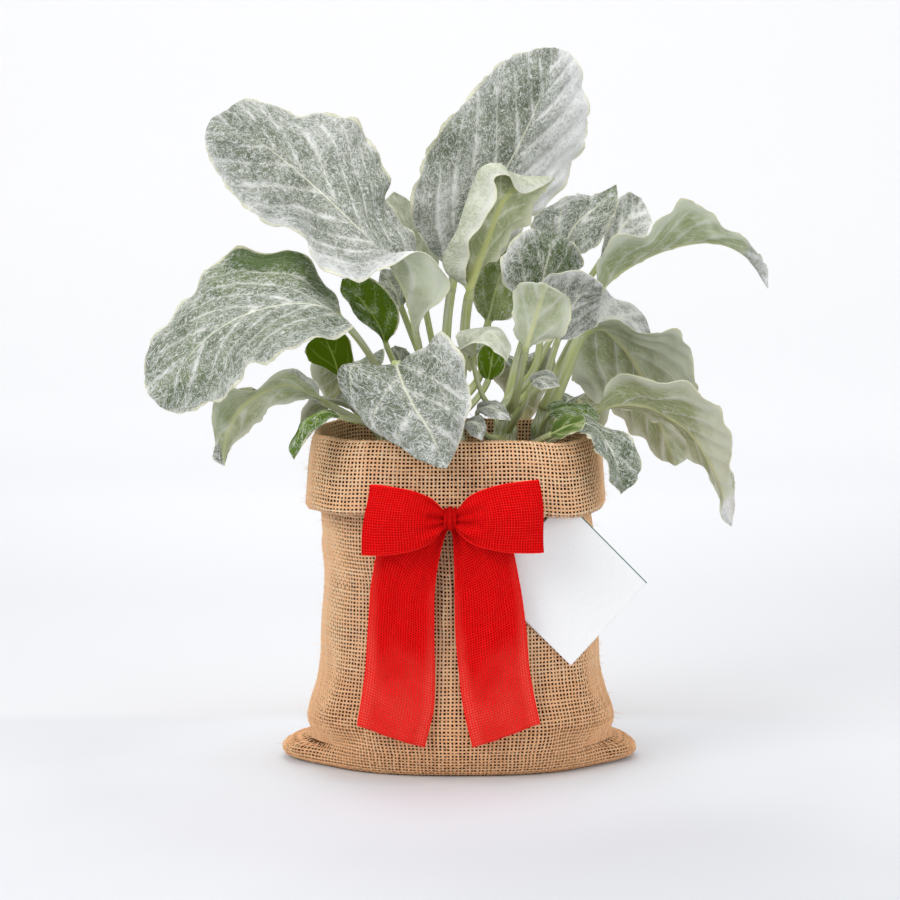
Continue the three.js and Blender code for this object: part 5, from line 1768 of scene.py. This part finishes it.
@dataclass
class Bow:
    """A ribbon bow: two loops, two tails and the knot band round their middle."""

    thickness: float = 0.5
    rows: int = 110
    columns: int = 32
    waist: tuple[float, float, float] = (-3.0, -81.5, 144.0)
    knot_half: float = 3.3
    knot_depth: float = 5.6
    knot_height: float = 5.2
    knot_turns: int = 72
    knot_columns: int = 25
    tail_start: float = 60.0

    def ribbon_piece(
        self, name: str, outline: list[list[Point]], relief: SheetRule, finish: bpy.types.Material,
        start: float = 0.0,
    ) -> bpy.types.Object:
        """A length of ribbon over lines from one edge to the other, with a front and a back.

        Args:
            name: The piece's name.
            outline: The points of its lines along, from edge to edge.
            relief: How far it stands off them.
            finish: Its finish.
            start: Where the weave's count starts along it.

        Returns:
            The object.
        """
        lines = [Line(points) for points in outline]
        sheet = Sheet(lines, list(np.linspace(-1, 1, len(lines))), relief)
        t = np.linspace(0.001, 0.999, self.rows)[:, None]
        q = np.linspace(-1, 1, self.columns)[None, :] + 0 * t
        half = np.full(q.shape, self.thickness / 2)
        points = wrapped(*sheet.both_faces(t, q, half, half))
        across = wrapped(q, q) * RIBBON_WIDTH / 2
        along = t * lines[len(lines) // 2].length + 0 * across + start
        faces = tube_faces(self.rows, 2 * self.columns)
        return make_piece(name, points, faces, finish, np.stack([across, along], -1))

    def build(self) -> None:
        """Builds the loops, the tails and the knot."""
        finish = RibbonFinish().material()
        self.build_loops(finish)
        self.build_tails(finish)
        self.build_knot(finish)

    @staticmethod
    def loop_relief(t: Array, q: Array) -> Array:
        """A loop's pleats at both ends, the dent beside the knot and a slow wave between."""
        pleats = 1.6 * np.cos(3.2 * math.pi * q + 0.5) * (bell(t - 0.08, 0.08) + bell(t - 0.92, 0.08))
        dent = -2.8 * bell(q - 0.05, 0.2) * bell(t - 0.09, 0.065)
        return pleats + dent + 0.5 * np.sin(5 * t + 3 * q) * np.sin(math.pi * t)

    @staticmethod
    def tail_relief(t: Array, q: Array, phase: float, crease: float) -> Array:
        """A tail's slow wave, its pleats below the knot, its ripples and a crease that slants over it."""
        stretch = smooth_step(t, 0.16, 0.26) * (1 - smooth_step(t, 0.44, 0.56))
        return (
            1.1 * np.sin(2.4 * q + 3.4 * t + phase) * smooth_step(t, 0.15, 0.5)
            + 0.9 * np.cos(3.2 * math.pi * q) * bell(t, 0.16)
            + 0.35 * np.sin(9 * q + 6 * t + phase) * smooth_step(t, 0.1, 0.4)
            + crease * bell(q - 5.5 * (t - 0.34), 0.4) * stretch
        )

    def build_loops(self, finish: bpy.types.Material) -> None:
        """Each loop leaves the knot in front, folds at its end and comes back behind it."""
        edges = {
            "left": [
                [
                    [-5, -85.0, 140], [-12, -88.4, 132.5], [-27, -90.4, 127.5], [-42, -88.4, 125.8],
                    [-49, -84.5, 125.8], [-43, -81.2, 126.5], [-28, -80.6, 129], [-14, -80.2, 134],
                    [-5, -80.2, 140],
                ],
                [
                    [-5, -85.6, 144], [-13, -91.0, 144.5], [-26, -93.2, 145], [-40, -90.8, 145.5],
                    [-47, -85.5, 145.5], [-41, -81.0, 145.5], [-27, -80.4, 145], [-14, -80.0, 144.5],
                    [-5, -80.0, 144],
                ],
                [
                    [-5, -85.0, 148], [-12, -88.0, 155.5], [-24, -90.4, 160.5], [-37, -88.9, 162.2],
                    [-44.5, -84.5, 162.5], [-39, -81.2, 162], [-26, -80.6, 159], [-13, -80.2, 153],
                    [-5, -80.2, 148],
                ],
            ],
            "right": [
                [
                    [-1, -85.0, 148], [6, -88.0, 156.5], [20, -90.4, 162.5], [35, -88.4, 164.8],
                    [43, -84.5, 165], [37, -81.2, 164], [22, -80.6, 160], [8, -80.2, 153], [-1, -80.2, 148],
                ],
                [
                    [-1, -85.6, 144], [8, -91.2, 144.5], [23, -93.4, 146], [38, -90.6, 146.5],
                    [45, -85.5, 146.5], [38, -81.0, 146.5], [23, -80.4, 145.5], [8, -80.0, 144.5],
                    [-1, -80.0, 144],
                ],
                [
                    [-1, -85.0, 140], [7, -88.6, 132.5], [23, -90.6, 128.2], [39, -88.4, 127],
                    [46, -84.5, 127], [39, -81.2, 127.5], [23, -80.6, 129], [8, -80.2, 134],
                    [-1, -80.2, 140],
                ],
            ],
        }
        pieces = [
            self.ribbon_piece(f"bow_loop_{side}", outline, self.loop_relief, finish)
            for side, outline in edges.items()
        ]
        place_piece(pieces[0], "ribbon", "bow_loops")
        place_piece(pieces[1], "ribbon")

    def build_tails(self, finish: bpy.types.Material) -> None:
        """Each tail hangs from the knot, opens to its full width and ends in a slanted cut."""
        edges = {
            "left": [
                [
                    [-3, -78.6, 147], [-18, -78.9, 145], [-37, -78.2, 135], [-43.6, -76.5, 113],
                    [-46, -74, 88], [-48, -72, 60], [-52.3, -70.2, 32],
                ],
                [
                    [-3, -79.8, 144], [-10, -80.2, 139], [-20, -79.6, 126], [-27, -77.6, 108],
                    [-28.6, -75.4, 86], [-29.8, -73.2, 58], [-34.4, -71.2, 26.2],
                ],
                [
                    [-3, -78.6, 141], [-5.5, -79.0, 136], [-8.4, -78.4, 124], [-10.8, -76.4, 108],
                    [-11.3, -74.2, 86], [-11, -72, 56], [-11.5, -71.4, 42], [-16.4, -70.2, 20.4],
                ],
            ],
            "right": [
                [
                    [-3, -78.6, 141], [-1.5, -79.0, 136], [-0.9, -78.4, 122], [-0.6, -76.4, 104],
                    [-0.3, -74.4, 84], [1.7, -72, 60], [4, -71.4, 42], [9, -70.2, 20.4],
                ],
                [
                    [-3, -79.8, 144], [3, -80.2, 139], [11, -79.8, 126], [16.5, -77.6, 108],
                    [18.3, -75.6, 86], [20.6, -73.4, 58], [26.8, -71.2, 26.8],
                ],
                [
                    [-3, -78.6, 147], [11, -78.9, 144], [27, -78.2, 133], [33, -76.5, 112],
                    [36.8, -74.2, 87], [39.4, -72.2, 60], [44.8, -70.2, 33],
                ],
            ],
        }
        for side, phase, crease, nodes in (("left", 0.4, 0.0, ["bow_tails"]), ("right", 2.1, 1.3, [])):
            relief = lambda t, q, phase=phase, crease=crease: self.tail_relief(t, q, phase, crease)
            piece = self.ribbon_piece(f"bow_tail_{side}", edges[side], relief, finish, self.tail_start)
            place_piece(piece, "ribbon", *nodes)

    def build_knot(self, finish: bpy.types.Material) -> None:
        """The knot: a band round the waist, its section a rounded square, with two lengthways pleats."""
        turn = circle(self.knot_turns)[:, None]
        q = np.linspace(-1, 1, self.knot_columns)[None, :]
        pleats = 0.9 * np.cos(2.4 * math.pi * q + 0.8 * np.sin(turn)) * (1 - q**4)
        swell = 1.1 * (1 - np.abs(q) ** 3) + pleats
        c, s = np.cos(turn), np.sin(turn)
        middle = np.array(self.waist)
        y = middle[1] - 0.6 + (self.knot_depth + swell) * np.sign(c) * np.abs(c) ** 0.85
        z = middle[2] + 0.4 + (self.knot_height + 0.6 * swell) * np.sign(s) * np.abs(s) ** 0.85
        x = middle[0] + self.knot_half * q * (1 + 0.08 * np.abs(s)) + 0.3 * np.sin(turn)
        outer = np.stack([x, y, z], -1)
        points = wrapped(outer, middle + (outer - middle) * np.array([0.97, 0.86, 0.90]))
        count = 2 * self.knot_columns
        faces = [grid_faces(self.knot_turns, count, ring_rows=True, ring_columns=True)[:, ::-1]]
        uv = np.stack([points[..., 0] * 2.2, np.repeat(turn * 11.0, count, 1)], -1)
        piece = make_piece("bow_knot_band", points, faces, finish, uv)
        place_piece(piece, "ribbon", "bow_knot")


@dataclass(frozen=True)
class CardFinish:
    """Smooth white card with a faint grain and a thin dark line along one edge."""

    name: str = "tag_card"
    white: Colour = (0.93, 0.935, 0.93)
    shade: Colour = (0.88, 0.885, 0.88)
    edge: Colour = (0.10, 0.19, 0.16)

    def material(self) -> bpy.types.Material:
        """Builds the finish, with the number "rim" at 1 on the dark line."""
        finish = Finish(self.name, roughness=0.55)
        grain = finish.noise(finish.place(), 1600.0, 3.0)
        colour = finish.mix(grain.step(0.35, 0.7), self.white, self.shade)
        colour = finish.mix(finish.value("rim").step(0.4, 0.6), colour, self.edge)
        finish.coat(base_color=colour, normal=finish.bump(grain, 0.00008, 0.5))
        return finish.material


@dataclass
class Tag:
    """A plain card, nearly square, that stands on a corner, its top corner tucked under the cuff."""

    long: float = 65.6
    side: float = 60.4
    thickness: float = 0.6
    middle: tuple[float, float, float] = (59.4, -58.1, 106.7)
    turn: float = 14.6
    corner: float = 0.5
    rounding: float = 0.12
    rim: float = 0.45
    count: int = 40

    def build(self) -> None:
        """Builds the card: a grid with its corners cut off, bowed by a fraction of a millimetre.

        a and b run along its sides. The card's plane is turned 45° to stand on a corner, then turned about
        the vertical to lie along the sack.
        """
        count = self.count
        even = np.sin(np.linspace(-1, 1, count) * math.pi / 2)
        a, b = np.meshgrid(even, even, indexing="ij")
        long, half = self.long / 2, self.side / 2
        cut = self.corner * (np.abs(a) > 0.999) * (np.abs(b) > 0.999)
        a, b = a * (long - cut), b * (half - cut)
        bow = 0.5 * (a / long) * (b / half) + 0.35 * ((a / long) ** 2 - 0.5)
        near = (np.maximum(np.abs(a) - long, np.abs(b) - half) > -self.rounding) * self.rounding
        out = self.thickness / 2 - near
        points = np.stack([np.stack([a, bow - out, b], -1), np.stack([a, bow + out, b], -1)])
        z, x = rotated(points[..., 2], points[..., 0], 45.0)
        x, y = rotated(x, points[..., 1], self.turn)
        placed = np.stack([x, y, z], -1) + np.array(self.middle)
        line = (b > half - self.rim) * 1.0
        rim = np.stack([line, 0 * line])
        piece = make_piece("tag_card", placed, self.faces(), CardFinish().material(), values={"rim": rim})
        place_piece(piece, "card", "tag")

    def faces(self) -> list[NDArray]:
        """The card's front, its back and the strip round its edge."""
        count, run = self.count, np.arange(self.count - 1)
        sheet = count * count
        border = np.concatenate([run, run * count + count - 1, sheet - 1 - run, (count - 1 - run) * count])
        after = np.roll(border, -1)
        grid = grid_faces(count, count)
        return [grid[:, ::-1], grid + sheet, np.stack([border, after, after + sheet, border + sheet], -1)]


@dataclass(frozen=True)
class Studio:
    """The pale floor, with painted light round the object, painted shade low on the wall and a painted glow
    towards the back; the soft lights and the camera.
    """

    aim: tuple[float, float, float] = (-0.003, 0.0, 0.171)
    distance: float = 1.375
    pitch: float = 6.4
    lens: float = 100.0
    floor: Colour = (0.66, 0.67, 0.695)
    worn: Colour = (0.62, 0.63, 0.655)
    # Painted light: the floor is lighter round the object, filling its shadow.
    painted_light_floor: Colour = (0.77, 0.80, 0.84)
    # Painted shade: the far floor and the low wall are darker and the wall lightens upwards, evening out the
    # light that reaches them.
    far_floor: Colour = (0.672, 0.675, 0.69)
    low_wall: Colour = (0.875, 0.877, 0.89)
    high_wall: Colour = (0.92, 0.915, 0.92)
    # Painted light: the stage glows, dim near the object and bright towards the back.
    dim: Colour = (0.1, 0.1, 0.1)
    bright: Colour = (1.0, 1.0, 1.0)
    glow: float = 0.24
    half_size: float = 2500.0
    wall_top: float = 2600.0
    bend_start: float = 1500.0
    bend_radius: float = 800.0
    lit_point: tuple[float, float, float] = (0.0, 0.0, 0.18)
    sky: tuple[float, ...] = (0.95, 0.97, 1.0, 1.0)
    sky_strength: float = 0.5
    sensor: float = 36.0

    def build(self) -> None:
        """Builds the stage, the lights and the camera."""
        self.build_stage()
        self.build_lights()
        self.build_camera()

    def build_stage(self) -> None:
        """A floor that bends up into a back wall, z = r - √(r² - (y - y₀)²) in the bend."""
        # The stage glows with painted light, its strength set by glow.
        finish = Finish("stage_paper", roughness=0.9, emission_strength=self.glow)
        grain = finish.noise(finish.place(), 2.5, 3.0, 0.6)
        depth, height = finish.part(finish.place(), 1), finish.part(finish.place(), 2)
        # Painted shade: the wall is darker low down, where more light reaches it.
        wall = finish.mix(height.step(0.0, 0.32), self.low_wall, self.high_wall)
        wall = finish.mix(depth.step(0.45, 1.15), self.far_floor, wall)
        reach = finish.node("ShaderNodeVectorMath", {"operation": "LENGTH"}, {0: finish.place()}, 1)
        floor = finish.mix(grain.step(0.42, 0.66), self.floor, self.worn)
        # Painted light: the floor lightens within about 0.22 m of the object.
        floor = finish.mix(reach.step(0.08, 0.22), self.painted_light_floor, floor)
        # Painted light: the glow rises from dim to bright towards the back.
        glow = finish.mix(depth.step(0.8, 1.75), self.dim, self.bright)
        finish.coat(base_color=finish.mix(depth.step(0.082, 0.112), floor, wall), emission_color=glow)
        bend, start, radius = np.linspace(0, math.pi / 2, 24), self.bend_start, self.bend_radius
        y = np.concatenate([[-self.half_size], start + radius * np.sin(bend), [start + radius]])
        z = np.concatenate([[0.0], radius * (1 - np.cos(bend)), [self.wall_top]])
        x = np.array([-self.half_size, self.half_size])
        points = np.stack(np.broadcast_arrays(x[None, :], y[:, None], z[:, None]), -1)
        stage = make_piece("stage", points, [grid_faces(len(y), 2)[:, ::-1]], finish.material)

    def build_lights(self) -> None:
        """Large soft lights from both sides, above, behind and low in front, and a pale surrounding."""
        for name, place, size, power in (
            ("key", (-1.2, -1.3, 1.2), 1.0, 18.0),
            ("fill", (1.4, -1.3, 0.8), 1.3, 9.0),
            ("top", (0.1, 0.0, 1.6), 1.0, 10.0),
            ("back", (-0.1, 0.65, 1.0), 0.8, 4.0),
            ("low", (0.0, -1.7, 0.05), 0.8, 2.0),
        ):
            light = bpy.data.lights.new(name, "AREA")
            light.size, light.energy = size, power
            lamp = bpy.data.objects.new(name, light)
            lamp.location = place
            x, y, z = np.array(self.lit_point) - np.array(place)
            lamp.rotation_euler = (math.atan2(math.hypot(x, y), -z), 0.0, math.atan2(-x, y))
            bpy.context.scene.collection.objects.link(lamp)
        world = bpy.data.worlds.new("studio")
        bpy.context.scene.world = world
        world.use_nodes = True
        sky = world.node_tree.nodes["Background"].inputs
        sky[0].default_value, sky[1].default_value = self.sky, self.sky_strength
        bpy.context.scene.view_settings.view_transform = "Standard"

    def build_camera(self) -> None:
        """A camera level with the plant that looks down by the pitch."""
        camera = bpy.data.cameras.new("camera")
        camera.lens, camera.sensor_width = self.lens, self.sensor
        eye = bpy.data.objects.new("camera", camera)
        pitch = math.radians(self.pitch)
        away = np.array([0.0, -math.cos(pitch), math.sin(pitch)]) * self.distance
        eye.location = np.array(self.aim) + away
        eye.rotation_euler = (math.pi / 2 - pitch, 0.0, 0.0)
        bpy.context.scene.collection.objects.link(eye)
        bpy.context.scene.camera = eye


def main() -> None:
    """Builds the studio and each part of the object in order."""
    logging.basicConfig(level=logging.INFO, format="%(name)s: %(message)s")
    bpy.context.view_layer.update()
    Studio().build()
    for part in (PottedSoil(), Plant(), Sack(), Bow(), Tag()):
        part.build()


if __name__ == "__main__":
    main()
